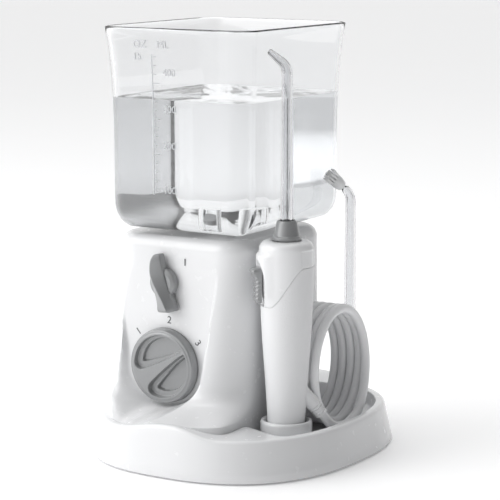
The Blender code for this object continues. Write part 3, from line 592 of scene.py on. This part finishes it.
def make_base():
    centre = np.array([-5.0, 5.0])
    columns = 420
    turns = full_turn(columns)
    ways = np.stack([np.cos(turns), np.sin(turns)], axis=1)

    def reach_to(outline):
        return ray_reach(centre, ways, outline)

    def ring(reach, heights):
        flat = centre + ways * reach[:, None]
        return np.column_stack([flat, np.broadcast_to(heights, columns)])

    def lip_at(reach):
        return lip_height((centre + ways * reach[:, None])[:, 0])

    hatch = reach_to(rounded_box_outline(-49.5, 14.0, -28.0, 41.0, 6.0, 6.0, (8, 8, 8, 5, 5)))
    rim = foot_outline(FOOT_LEAN * 18.0 + 4.2)
    tray = [tuple(point) for point in rim if point[0] > 24.0 and -46.0 < point[1] < 64.0]
    tray.sort(key=lambda point: atan2(point[1], point[0]))
    tray += [(21.1, 60.0), (21.1, -34.0)]
    pocket = reach_to(housing_outline(20.0, -0.3))
    wanted = np.maximum(pocket, reach_to(tray))
    spread = np.exp(-((np.arange(-12, 13) / 4.0) ** 2))
    padded = np.concatenate([wanted[-12:], wanted, wanted[:12]])
    softened = np.convolve(padded, spread / spread.sum(), "valid")
    inner = np.minimum(np.maximum(softened, pocket), reach_to(foot_outline(7.9)))

    def outer(heights):
        """The leaning outer wall's reach at a height for each column."""
        low = reach_to(foot_outline(0.0))
        high = reach_to(foot_outline(FOOT_LEAN * 30.0))
        return low + (high - low) * heights / 30.0

    lip = lip_at(outer(np.full(columns, 22.0)))
    lip = lip_at(outer(lip))
    rings = [ring(hatch, TRAY_UNDERSIDE)]
    for inset, height in ((5.0, TRAY_UNDERSIDE), (3.5, 1.0), (3.0, 0.6), (1.3, 0.6), (0.7, 0.9)):
        rings.append(ring(reach_to(foot_outline(inset)), height))
    skirt = 1.7
    rings.append(ring(outer(np.full(columns, skirt)), skirt))
    fillet = 1.8
    for share in (0.2, 0.45, 0.7, 0.9):
        heights = skirt + (lip - fillet - skirt) * share
        rings.append(ring(outer(heights), heights))
    for step in range(9):
        t = step / 8
        below = outer(lip - fillet)
        edge = outer(lip)
        reach = below * (1 - t) ** 2 + edge * 2 * t * (1 - t) + (edge - fillet) * t * t
        rings.append(ring(reach, lip - fillet * (1 - t) ** 2))
    start = outer(lip) - fillet
    soft = 0.8
    for share in (0.2, 0.4, 0.6, 0.8, 1.0):
        reach = start + (inner + soft - start) * share
        level = lip + (lip_at(inner) - lip) * share
        rings.append(ring(reach, level if share < 1.0 else lip_at(inner)))
    top = lip_at(inner)
    for step in range(1, 6):
        t = step / 5
        rings.append(ring(inner + soft * (1 - t) ** 2, top - soft * t * t))
    rings += [ring(inner, TRAY_FLOOR + (top - TRAY_FLOOR) * 0.4), ring(inner, TRAY_FLOOR + 1.2)]
    rings += [ring(inner - 0.3, TRAY_FLOOR + 0.35), ring(inner - 1.1, TRAY_FLOOR), ring(hatch, TRAY_FLOOR)]
    shell = skin("base_shell", rings, WHITE, sharp=50.0, loop=True)
    show(shell, "base_unit", "gloss_white", "base_foot")


# ---- housing


def shield_outline():
    """The panel: straight sides that close in to a half circle round the dial."""
    points = []
    for step in range(29):
        angle = radians(186.0 + 6.0 * step)
        across, up = SHIELD_RADIUS * cos(angle), SHIELD_RADIUS * sin(angle)
        points.append((PANEL_X + across, DIAL.z + up))
    for start, side in ((0.0, 1.0), (90.0, -1.0)):
        for step in range(9):
            angle = radians(start + 11.25 * step)
            x = PANEL_X + side * 20.3 + 8.0 * cos(angle)
            points.append((x, 91.5 + 8.0 * sin(angle)))
    return np.array(points)


def sink_panel(points, offset):
    """Moves the points inside the shield back to the panel's plane.

    The drafted edge is tighter below the dial, and wider low on the left, where it meets the flare.
    """
    depth = np.maximum(PANEL_Y + offset - points[:, 1], 0.0)
    near = depth > 0.0
    moved = points.copy()
    distance = outline_distance(points[near][:, [0, 2]], shield_outline())
    x, height = points[near][:, 0], points[near][:, 2]
    steep = smooth_step((height - 22.0) / 16.0)
    low_left = (1.0 - smooth_step((height - 30.0) / 22.0)) * smooth_step((PANEL_X - x) / 12.0)
    edge = 1.3 + 0.24 * depth[near] * steep + 2.6 * (1.0 - steep) + 6.0 * low_left
    share = 1.0 - smooth_step((distance - offset + 0.3 + 2.4 * (1.0 - steep)) / edge)
    moved[near, 1] += depth[near] * share
    return moved


def make_housing():
    top = HOUSE_HIGH.z
    bottom = HOUSE_LOW.z
    round_off = 5.6
    foot = np.linspace(bottom + 1.0, 19.5, 7)[:-1]
    fine = np.linspace(19.5, 27.5, 41)[:-1]
    coarse = np.linspace(27.5, top - round_off, 105)
    levels = [(bottom, 0.5), (bottom + 0.6, 0.0)]
    levels += [(height, 0.0) for height in (*foot, *fine, *coarse)]
    for step in range(1, 11):
        angle = radians(9.0 * step)
        levels.append((top - round_off * (1.0 - sin(angle)), round_off * (1.0 - cos(angle))))

    def wall(height, inset, offset):
        return sink_panel(at_height(housing_outline(height, inset), height), offset)

    outer = [wall(height, inset, 0.0) for height, inset in levels]
    seat = middle("reservoir_seat")
    last = outer[-1]
    turn = np.arctan2(last[:, 1] - seat.y, last[:, 0] - seat.x)

    def seat_ring(radius, height):
        return level_circle(seat, radius, turn, height)

    deck = [last + (seat_ring(13.5, top) - last) * share for share in (0.25, 0.5, 0.75, 1.0)]
    deck += [seat_ring(12.6, top - 0.15), seat_ring(12.2, top - 0.5), seat_ring(12.0, top - 0.5)]
    deck += [seat_ring(9.9, top - 0.5), seat_ring(9.6, top - 0.8), seat_ring(9.6, top - 2.6)]
    lower = (98.0, 90.0, 80.0, 70.0, 60.0, 50.0, 40.0, 36.0, 31.0, 27.0, 24.0, 22.0, 20.0, bottom)
    inner = [wall(top - 2.6, 4.5, HOUSE_WALL)]
    inner += [wall(height, HOUSE_WALL, HOUSE_WALL) for height in lower]
    body = skin("housing", outer + deck + inner, WHITE, sharp=50.0, loop=True)
    show(body, "base_unit", "gloss_white", "body_housing")

    gland = middle("cord_gland")
    low = span("cord_gland")[0].y
    profile = [(2.7, 0.0), (4.2, 0.0), (4.2, 3.9), (6.1, 3.9), (6.4, 4.2), (6.4, 5.3), (6.1, 5.6), (4.7, 5.9)]
    profile += ribs(6.6, 1.9, 4.6, 0.22, 0.8, (-0.4, 0.3, 1.1))
    profile += [(3.6, 14.4), (2.7, 14.4)]
    black = FINISH_OF_SLOT["rubber"]
    cord = turned("cord_gland_ribs", profile, (gland.x, low, gland.z), (0, 1, 0), black, 48, True, 30.0)
    show(cord, "base_unit", "rubber", "cord_gland")


# ---- tank and water


def tank_outline(inset, flare):
    half_x = (TANK_HIGH.x - TANK_LOW.x) / 2 - TANK_SPREAD + flare - inset
    half_y = (TANK_HIGH.y - TANK_LOW.y) / 2 - TANK_SPREAD + flare - inset
    corner = max(TANK_CORNER - inset, 1.0)
    sides = (TANK.x - half_x, TANK.x + half_x, TANK.y - half_y, TANK.y + half_y)
    return rounded_box_outline(*sides, corner, corner, (24, 24, 24, 14, 14))


def tank_flare(height):
    share = np.clip((height - TANK_FLARE_START) / 75.0, 0.0, None)
    return TANK_SPREAD * share**3.5


def tank_ring(height, inset):
    return at_height(tank_outline(inset, float(tank_flare(height))), height)


def bowl_levels(inset, floor, rise, sweep):
    """The rounded lower edge of the tank: height and inset from the flat bottom out to the wall."""
    levels = []
    for step in range(11):
        angle = radians(9.0 * step)
        levels.append((floor + rise * (1.0 - cos(angle)), inset + sweep * (1.0 - sin(angle))))
    return levels


def round_ring(like, radius, height):
    valve = middle("reservoir_valve_body")
    turn = np.arctan2(like[:, 1] - valve.y, like[:, 0] - valve.x)
    return level_circle(valve, radius, turn, height)


def make_tank():
    bottom, top = TANK_LOW.z, TANK_HIGH.z
    rise = 12.4
    outer = [tank_ring(height, inset) for height, inset in bowl_levels(0.0, bottom, rise, 9.5)]
    heights = [bottom + rise + (top - 1.0 - bottom - rise) * step / 26 for step in range(1, 27)]
    outer += [tank_ring(height, 0.0) for height in heights]
    turns = (0.4, 0.8, 1.2, 1.57, 1.95, 2.35, 2.75)
    lip = [tank_ring(top - 1.0 + sin(a), 0.9 - 0.9 * cos(a)) for a in turns]
    inner = [tank_ring(height, TANK_WALL) for height in reversed(heights)]
    floor_top = bottom + 2.2
    bowl = bowl_levels(TANK_WALL, floor_top, 10.2, 8.6)
    inner += [tank_ring(height, inset) for height, inset in reversed(bowl)]
    start, stop = outer[0], inner[-1]
    hole = round_ring(start, VALVE_HOLE, bottom)
    under = [hole] + [hole * (1 - s) + start * s for s in (0.3, 0.7)]
    over = [stop * (1 - s) + round_ring(stop, VALVE_HOLE, floor_top) * s for s in (0.3, 0.7, 1.0)]
    tank = skin("tank", under + outer + lip + inner + over, CLEAR, sharp=60.0, loop=True)
    show(tank, "tank", "clear", "reservoir")

    overlap = 0.35
    levels = bowl_levels(TANK_WALL, bottom + 1.9, 10.2, 8.6)
    sides = [tank_ring(height, inset - overlap) for height, inset in levels]
    steps = 12
    wall_start = bottom + 12.1
    climb = WATER_LEVEL - wall_start
    for step in range(1, steps + 1):
        sides.append(tank_ring(wall_start + climb * step / steps, TANK_WALL - overlap))
    rim = sides[-1]
    centre = rim.mean(axis=0)
    surface_rings = []
    shares = (0.985, 0.96, 0.93, 0.89, 0.85, 0.8, 0.74, 0.68, 0.61, 0.54, 0.46, 0.38, 0.3, 0.22, 0.14, 0.07)
    for share in shares:
        flat = centre + (rim - centre) * share
        wave = 0.55 * np.sin(flat[:, 0] * 0.42 + flat[:, 1] * 0.16) * np.cos(flat[:, 1] * 0.31 - 0.6)
        wave += 0.30 * np.sin(flat[:, 0] * 0.9 - flat[:, 1] * 0.55)
        left = 0.35 + 0.65 * smooth_step((-flat[:, 0]) / 50.0)
        flat[:, 2] = WATER_LEVEL + wave * left * (1.0 - share**12) - 0.25 * (1.0 - share**30)
        surface_rings.append(flat)
    base = sides[0]
    hollow = ((5.0, 8.3), (5.8, 8.1), (6.0, 4.6), (9.6, 4.4), (9.9, 1.9))
    floor = [round_ring(base, radius, bottom + above) for radius, above in hollow]
    floor.append(floor[-1] * 0.5 + base * 0.5)
    water = skin("water", floor + sides + surface_rings, WATER, sharp=60.0)
    show(water, "tank", "clear")


def mark(name, text, size, place, axes, finish, depth, body, slot):
    """Raised lettering on a surface at place; axes are the reading and upright directions."""
    curve = bpy.data.curves.new(name + "_shape", "FONT")
    curve.body = text
    curve.size = size * MM
    curve.extrude = depth * MM / 2
    curve.align_x = "CENTER"
    curve.align_y = "CENTER"
    holder = link(name + "_shape", curve)
    bpy.context.view_layer.update()
    graph = bpy.context.evaluated_depsgraph_get()
    mesh = bpy.data.meshes.new_from_object(holder.evaluated_get(graph))
    bpy.data.objects.remove(holder, do_unlink=True)
    mesh.name = name
    across, upright = (Vector(axis).normalized() for axis in axes)
    out = across.cross(upright)
    turn = Matrix((across, upright, out)).transposed().to_4x4()
    move = Matrix.Translation((Vector(place) + out * depth / 2) * MM)
    weld(mesh, lambda cleaner: cleaner.transform(move @ turn))
    mesh.materials.clear()
    mesh.materials.append(finish)
    return show(link(name, mesh), body, slot)


def bar(name, low, high, finish, body, slot):
    """A small raised bar with its corners taken off."""
    low, high = Vector(low), Vector(high)
    soft = min(0.12, (high.x - low.x) / 3, (high.z - low.z) / 3)
    rings = []
    for y, inset in ((high.y, 0.0), (low.y + soft, 0.0), (low.y, soft)):
        rings.append([(x, y, z) for x, z in (
            (low.x + inset, low.z + inset), (high.x - inset, low.z + inset),
            (high.x - inset, high.z - inset), (low.x + inset, high.z - inset))])
    return show(skin(name, rings, finish, 30.0), body, slot)


def make_tank_scale():
    def wall(height):
        return float(TANK_LOW.y + TANK_SPREAD - tank_flare(height))

    for name, text, size, x, height in (
        ("scale_oz", "OZ", 5.0, -32.4, 192.3), ("scale_ml", "ML", 5.0, -19.7, 192.3),
        ("scale_15_oz", "15", 4.6, -34.2, 186.6),
        ("scale_400", "400", 4.6, -17.0, 179.6), ("scale_300", "300", 4.6, -17.1, 162.8),
        ("scale_200", "200", 4.6, -17.3, 145.9), ("scale_100", "100", 4.6, -17.4, 125.4)):
        slope = float(tank_flare(height + 0.5) - tank_flare(height - 0.5))
        axes = ((1, 0, 0), (0, -slope, 1))
        mark(name, text, size, (x, wall(height), height), axes, CLEAR_MARK, 0.4, "tank", "clear")
    for number in range(16):
        height = 125.4 + 4.1 * number
        reach = 3.4 if number % 4 == 0 else 1.9
        y = wall(height)
        low, high = (-26.0, y - 0.35, height - 0.2), (-26.0 + reach, y + 0.05, height + 0.2)
        bar(f"scale_tick_{number + 1}", low, high, CLEAR_MARK, "tank", "clear")
    rings = []
    for step in range(17):
        height = 123.0 + 4.05 * step
        y = wall(height)
        corners = ((-26.6, 0.05), (-26.6, -0.3), (-26.05, -0.3), (-26.05, 0.05))
        rings.append([(x, y + out, height) for x, out in corners])
    show(skin("scale_line", rings, CLEAR_MARK, 30.0), "tank", "clear")


# ---- controls


def make_knob():
    centre = Vector((PANEL_X, 0.0, KNOB_Z))
    corners = [(0.6, 34.2, 0), (6.6, 34.2, 0.2), (7.0, 34.5, 0.2), (7.0, 37.6, 1.1), (5.2, 38.5, 0.6)]
    disc = turned("knob_disc", rounded(corners + [(0.6, 38.5, 0)]), centre, (0, -1, 0), GREY)
    show(disc, "power_lever", "control_grey", "power_knob")

    tilt = Matrix.Rotation(radians(-8.0), 3, "Y")
    rings = []
    middle_shares = [0.12 + 0.076 * step for step in range(11)]
    for share in [0.0, 0.012, 0.035, 0.07] + middle_shares + [0.93, 0.965, 0.988, 1.0]:
        end = min(share / 0.07, (1.0 - share) / 0.14)
        pinch = sqrt(max(1.0 - (1.0 - min(end, 1.0)) ** 2, 0.0))
        height = -13.6 + 27.4 * share
        widen = (1.0 - share) ** 1.6
        left = -3.1 - 0.9 * widen - 1.1 * sin(2.0 * pi * (share - 0.42))
        right = 1.9 + 4.6 * (1.0 - share) ** 1.9
        ridge = left + 0.7 + (right - left - 2.4) * (1.0 - float(smooth_step(share * 1.15))) ** 1.2
        rise = (7.0 + 2.6 * (1.0 - share)) * (0.72 + 0.28 * pinch)
        shrink = 0.80 + 0.20 * pinch if share < 0.5 else 0.45 + 0.55 * pinch
        corners = [
            (left * shrink, 1.2, 0.0),
            (left * shrink, rise * (0.60 + 0.34 * share), 0.7),
            (ridge * shrink, rise, 0.55),
            (right * shrink, rise * (0.42 + 0.38 * share), 0.9),
            (right * shrink, 1.2, 0.0),
        ]
        ring = [Vector((x, -34.1 - y, height)) for x, y in rounded(corners, 4)]
        rings.append([tilt @ point + centre for point in ring])
    lever = skin("knob_lever", rings, GREY, sharp=38.0)
    show(lever, "power_lever", "control_grey", "power_knob")


def make_dial():
    """A round dial with a rim, a tapered pointer bar and two stepped D-shaped recesses beside it."""
    edge_radii = [16.6, 16.95, 17.2, 17.4, 17.55, 17.68, 17.76, DIAL_RADIUS]
    columns = 240
    turns = full_turn(columns)
    face = -DIAL_FACE_Y
    rest = radians(DIAL_REST_DEGREES)

    def ring(p, q, out):
        """A ring of the dial turned to its rest: p runs along the bar and q across it."""
        x = PANEL_X + p * sin(rest) + q * cos(rest)
        z = DIAL.z + p * cos(rest) - q * sin(rest)
        return np.column_stack([x, -out, z])

    rings = []
    for radius in np.concatenate([np.linspace(0.25, 16.2, 62), edge_radii]):
        p = radius * np.cos(turns)
        q = radius * np.sin(turns)
        half = 0.75 + 3.7 * np.clip((12.5 - p) / 26.0, 0.0, 1.2) ** 1.5
        soft = 1.2 + 3.8 * np.clip((6.0 - p) / 16.0, 0.0, 1.0)
        to_bar = np.abs(q) - half
        to_rim = 14.8 - radius
        inside = soft - np.hypot(np.maximum(soft - to_bar, 0.0), np.maximum(soft - to_rim, 0.0))
        inside = np.where((to_bar > soft) & (to_rim > soft), np.minimum(to_bar, to_rim), inside)
        step_in = 1.1 + 2.4 * np.clip((8.0 - p) / 20.0, 0.0, 1.0)
        deeper = np.where(q > 0, 1.2, 1.0)
        depth = 2.1 * smooth_step((inside + 0.1) / 0.6) + 1.5 * smooth_step((inside - step_in) / 0.6)
        depth = depth * deeper
        roll = sqrt(max(1.0 - (max(radius - 16.7, 0.0) / 1.1) ** 2, 0.0))
        depth += 0.35 * smooth_step((radius - 15.6) / 0.5) + 4.4 * (1.0 - roll) ** 1.2
        rings.append(ring(p, q, face - depth))
    back = 34.2
    for radius, out in ((DIAL_RADIUS, 35.2), (DIAL_RADIUS, 34.5), (17.5, back), (9.0, back), (0.5, back)):
        rings.append(ring(radius * np.cos(turns), radius * np.sin(turns), np.full(columns, out)))
    dial = skin("dial_face", rings, GREY)
    show(dial, "dial", "control_grey", "pressure_dial")


def make_panel_marks():
    for name, text, dx, dz, angle, size in (
        ("mark_off", "O", -7.1, KNOB_Z + 7.6, 0.0, 4.8), ("mark_on", "I", 10.3, KNOB_Z + 10.0, 0.0, 4.8),
        ("mark_1", "1", -16.0, DIAL.z + 14.3, 40.0, 4.9), ("mark_2", "2", 1.4, DIAL.z + 21.4, -5.0, 4.9),
        ("mark_3", "3", 17.3, DIAL.z + 12.2, -52.0, 4.9)):
        turn = radians(angle)
        across = (cos(turn), 0.0, sin(turn))
        upright = (-sin(turn), 0.0, cos(turn))
        place = (PANEL_X + dx, PANEL_Y + 0.04, dz)
        mark(name, text, size, place, (across, upright), PAINT, 0.16, "base_unit", "gloss_white")


# ---- handle


def handle_radius(height):
    heights = (HANDLE_FOOT, 15.4, 17.0, 19.0, 30.0, 40.0, 49.0, 58.5, 66.0, 72.5, 80.0, 94.8, 101.0, 106.0)
    radii = (7.0, 7.9, 8.35, 8.6, 9.2, 9.8, 10.45, 11.2, 11.6, 11.9, 12.25, 12.6, 12.5, 12.3)
    return np.interp(height, heights, radii)


def seam_height(turn):
    """Height of the seam round the handle; turn is the angle from the slider's side."""
    wrapped = np.abs((turn + pi) % (2.0 * pi) - pi)
    return 75.0 + 18.2 * smooth_step((np.degrees(wrapped) - 35.0) / 83.0)


def handle_ring(turn, radius, height):
    base = atan2(FACING.y, FACING.x)
    x = HANDLE.x + radius * np.cos(turn + base)
    y = HANDLE.y + radius * np.sin(turn + base)
    return np.column_stack([x, y, np.broadcast_to(height, turn.shape)])


def head_radius(turn, height):
    """The head with its raised pad, the oval dish round the slider and the pocket for the eject button."""
    wrapped = (turn + pi) % (2.0 * pi) - pi
    radius = handle_radius(height)
    across = wrapped * 12.6
    pad = smooth_step((11.5 - np.abs(across)) / 6.5) * smooth_step((100.4 - height) / 2.4)
    radius = radius + 0.25 + 1.3 * (pad * smooth_step((height - 75.2) / 7.0))
    oval = np.sqrt((across / 6.6) ** 2 + ((height - 84.9) / 11.6) ** 2)
    radius = radius - 2.0 * smooth_step((1.0 - oval) / 0.14)
    rear = smooth_step((101.3 - height) / 0.5)
    radius = radius - 0.3 * smooth_step((np.degrees(np.abs(wrapped)) - 107.0) / 2.5) * rear
    back = (np.abs(wrapped) - pi) * 12.6
    pocket = smooth_step((5.35 + back) / 0.5) * smooth_step((height - 93.5) / 0.5) * rear
    return radius - 2.9 * pocket


def on_handle(out, across, height):
    side = Vector((-FACING.y, FACING.x, 0.0))
    return HANDLE_AXIS + FACING * out + side * across + UP * height


def make_handle():
    columns = 168
    turn = full_turn(columns)
    seam = seam_height(turn)

    rings = [handle_ring(turn, 5.2, HANDLE_FOOT)]
    seam_gap = 0.1
    for share in np.concatenate([np.linspace(0.0, 0.08, 6), np.linspace(0.1, 0.985, 44)]):
        height = HANDLE_FOOT + (seam - seam_gap - HANDLE_FOOT) * share
        rings.append(handle_ring(turn, handle_radius(height), height))
    top = seam - seam_gap
    edge = handle_radius(top)
    for inset, up in ((0.08, 0.04), (0.4, 0.08), (3.0, 0.08)):
        rings.append(handle_ring(turn, edge - inset, top + up))
    grip = skin("grip", rings, TEXTURED, sharp=50.0)
    show(grip, "handle", "textured_white", "handle_grip")

    rings = [handle_ring(turn, handle_radius(seam) - inset, seam) for inset in (3.0, 0.2)]
    for share in np.concatenate([[0.0, 0.012, 0.03], np.linspace(0.05, 1.0, 64)]):
        height = seam + seam_gap + (HEAD_EDGE - seam - seam_gap) * share
        lift = 0.35 * (1.0 - min(share / 0.03, 1.0)) ** 1.5
        rings.append(handle_ring(turn, head_radius(turn, height) - lift, height))
    last = head_radius(turn, np.full(columns, HEAD_EDGE))
    shoulder = 3.6
    for step in range(1, 10):
        angle = radians(10.0 * step)
        inset = shoulder * (1.0 - cos(angle))
        rings.append(handle_ring(turn, last - inset, HEAD_EDGE + shoulder * sin(angle)))
    for radius, height in ((6.9, 104.9), (6.7, 104.8), (6.7, 104.2), (4.8, 104.2), (4.8, 99.0)):
        rings.append(handle_ring(turn, np.full(columns, radius), height))
    head = skin("handle_shell", rings, WHITE, sharp=50.0)
    show(head, "handle", "gloss_white", "handle_head", "water_passage", "tip_seal")

    rings = []
    bottom, high = 76.4, 92.8
    steps = 78
    for step in range(steps + 1):
        share = step / steps
        height = bottom + (high - bottom) * share
        end = min(1.0, min(share, 1.0 - share) * (high - bottom) / 1.6)
        taper = sqrt(1.0 - (1.0 - end) ** 2)
        half = 3.3 * (0.55 + 0.45 * taper)
        wave = 0.5 - 0.5 * cos(2.0 * pi * (height - bottom - 1.2) / 1.9)
        ribbed = float(smooth_step((height - 77.2) / 0.8) * smooth_step((88.6 - height) / 0.8))
        ledge = 2.3 * float(smooth_step((height - 87.0) / 4.4))
        front = 12.9 + (1.75 + 0.5 * wave * ribbed + ledge) * (0.35 + 0.65 * taper)
        left = [(-half, 12.35, 0), (-half, front - 0.7, 0.4), (-half * 0.72, front, 0.6)]
        corners = left + [(-across, reach, fillet) for across, reach, fillet in reversed(left)]
        rings.append([on_handle(reach, across, height) for across, reach in rounded(corners, 3)])
    slider = skin("slider", rings, GREY, sharp=30.0)
    show(slider, "pause_control", "control_grey", "pause_slider", "pause_valve_spool")

    rings = []
    length = 7.1
    for step in range(41):
        share = step / 40
        height = 93.85 + length * share
        end = min(1.0, min(share, 1.0 - share) * length)
        taper = sqrt(1.0 - (1.0 - end) ** 2)
        half = 4.85 - 0.5 * (1.0 - taper)
        ring = [on_handle(-10.6, -half, height)]
        for part in range(15):
            across = -half + 2 * half * part / 14
            outward = sqrt(12.55**2 - across**2) - 0.35 * (1.0 - taper)
            outward += 0.30 * sin(pi * share) - 0.5 * (abs(across) / half) ** 8
            ring.append(on_handle(-outward, across, height))
        rings.append(ring + [on_handle(-10.6, half, height)])
    button = skin("eject_pad", rings, WHITE)
    show(button, "eject", "gloss_white", "eject_button")

    profile = [(3.6, 105.3), (3.6, 99.0), (4.2, 99.0), (4.2, 105.0)]
    corners = [(4.2, 105.0, 0), (6.5, 105.0, 0.3), (6.55, 106.6, 0.35), (6.0, 107.1, 0.3), (5.9, 107.3, 0.2)]
    corners += [(4.75, 113.2, 0.5), (4.3, 114.0, 0.3), (3.6, 114.0, 0)]
    profile += rounded(corners, 4)[1:]
    collar = turned("collar", profile, HANDLE_AXIS, UP, GREY, loop=True, sharp=35.0)
    show(collar, "collar", "control_grey", "tip_collar")


def tip_path(axis, facing, low, bend_start, straight, pieces):
    """A straight tube, a bend of fixed radius, then a straight taper to the jet."""
    path = []
    radii = []
    for step in range(pieces + 1):
        share = step / pieces
        path.append(axis + UP * (low + (bend_start - low) * share))
        radii.append(3.3 - 0.8 * share)
    for step in range(1, 13):
        angle = radians(50.0 * step / 12)
        aside, above = 8.0 * (1.0 - cos(angle)), 8.0 * sin(angle)
        path.append(axis + facing * aside + UP * (bend_start + above))
        radii.append(2.5 - 0.5 * step / 12)
    angle = radians(50.0)
    way = facing * sin(angle) + UP * cos(angle)
    corner = path[-1]
    for share in (0.25, 0.5, 0.75, 0.93, 1.0):
        path.append(corner + way * (straight * share))
        radii.append(2.0 - 0.75 * share - (0.25 if share == 1.0 else 0.0))
    return path, radii, way


def make_tip(name, body, nodes, axis, facing, low, bend_start, straight, bore):
    path, radii, way = tip_path(axis, facing, low, bend_start, straight, 24)
    side = UP.cross(facing).normalized()
    outer = swept_rings(path, radii, 32, side)
    inner = swept_rings(path, [radius * bore for radius in radii], 32, side)
    piece = skin(name, outer + inner[::-1], CLEAR_TIP, sharp=50.0, loop=True)
    show(piece, body, "clear_tip", *nodes)
    return path[-1], way


def make_spare_tip():
    post = middle("tip_post")
    axis = Vector((post.x, post.y, 0.0))
    facing = Vector((-0.5, -sqrt(0.75), 0.0))
    nodes = ["stored_tip_tube"]
    end, way = make_tip("spare_tip_tube", "stored_tip", nodes, axis, facing, 16.2, 114.5, 1.4, 0.58)

    corners = [(0.4, 0.3, 0), (1.3, 0.3, 0.3), (2.5, 1.3, 0.8), (3.1, 4.0, 1.5), (3.1, 6.4, 0.8)]
    corners += [(2.7, 7.2, 0.4), (0.4, 7.4, 0)]
    head = turned("brush_base", rounded(corners), end, way, WHITE, 40)
    show(head, "stored_tip", "gloss_white", "stored_brush_head")
    side, other = frame_for(way)
    number = 0
    for count, radius, lean, height in ((1, 0.0, 0.0, 11.9), (6, 1.05, 0.05, 11.6), (11, 2.1, 0.10, 10.9)):
        for step in range(count):
            angle = 2.0 * pi * (step + 0.3 * count) / count
            out = side * cos(angle) + other * sin(angle)
            foot = end + out * radius
            direction = (way + out * lean).normalized()
            number += 1
            profile = [(0.36, 6.9), (0.42, 7.4), (0.45, height - 0.5), (0.34, height - 0.1), (0.12, height)]
            tuft = turned(f"bristle_tuft_{number}", profile, foot, direction, BRUSH, 10)
            show(tuft, "stored_tip", "gloss_white", "stored_brush_head")

    low = span("tip_post")[0].z
    corners = [(0.4, low, 0), (4.2, low, 0), (4.15, low + 2.4, 0.8), (2.2, low + 3.4, 1.0)]
    corners += [(1.6, low + 4.4, 0.8), (1.5, low + 12.4, 0.5), (0.4, low + 12.7, 0)]
    peg = turned("peg", rounded(corners), axis, UP, WHITE, 48)
    show(peg, "base_unit", "gloss_white", "tip_post")


def make_fittings():
    low = span("handle_holder")[0].z
    high = 21.4
    corners = [(9.4, low, 0), (11.4, low, 0.3), (11.9, low + 1.5, 0.8), (12.05, high - 1.2, 1.2)]
    corners += [(11.6, high, 0.7), (10.6, high, 0.7), (9.6, high - 1.4, 0.8), (9.4, low + 1.0, 0)]
    cup = turned("handle_cup", rounded(corners), HANDLE_AXIS, UP, WHITE, 96, loop=True, sharp=45.0)
    show(cup, "base_unit", "gloss_white", "handle_holder")

    profile = [(2.25, 6.5), (3.4, 6.5), (3.5, 10.0), (3.45, 20.0)]
    profile += ribs(20.5, 1.5, 3.35, 0.12, 0.35, (-0.25, 0.25, 0.95))
    profile += [(2.75, 26.2), (2.25, 26.3)]
    sleeve = turned("hose_sleeve", profile, SLEEVE_START, SLEEVE_WAY, HOSE, 48, loop=True, sharp=35.0)
    show(sleeve, "handle", "hose_white", "hose_strain_relief")

    gland_low, gland_high = span("hose_gland")
    centre = Vector((COIL_LOW_X, 0.0, (gland_low.z + gland_high.z) / 2))
    y0, y1 = gland_low.y, gland_high.y
    corners = [(2.3, y0 + 0.1, 0), (3.3, y0 + 0.1, 0.3), (3.9, y0 + 1.2, 0.5), (3.9, y1 - 1.6, 1.5)]
    corners += [(2.6, y1 - 0.1, 0.8), (0.4, y1, 0)]
    body = turned("gland_body", rounded(corners), centre, (0, 1, 0), WHITE, 48)
    show(body, "base_unit", "gloss_white", "hose_gland")
    rings = []
    foot = gland_low.z
    for height, inset in ((foot, 0.0), (foot + 1.0, 0.15), (foot + 2.4, 0.3), (centre.z, 0.3)):
        sides = (COIL_LOW_X - 3.4 + inset, COIL_LOW_X + 3.4 - inset, 49.6 + inset, 56.4 - inset)
        flat = rounded_box_outline(*sides, 1.2, 1.2, (3, 3, 3, 5, 5))
        rings.append(at_height(flat, height))
    show(skin("gland_stem", rings, WHITE), "base_unit", "gloss_white", "hose_gland")


finish_cad_nodes()
make_stage()
make_hose()
make_base()
make_housing()
make_tank()
make_tank_scale()
make_knob()
make_dial()
make_panel_marks()
make_handle()
make_tip("jet", "tip", ["jet_tip"], HANDLE_AXIS, FACING, 94.6, 180.0, 7.3, 0.55)
make_spare_tip()
make_fittings()
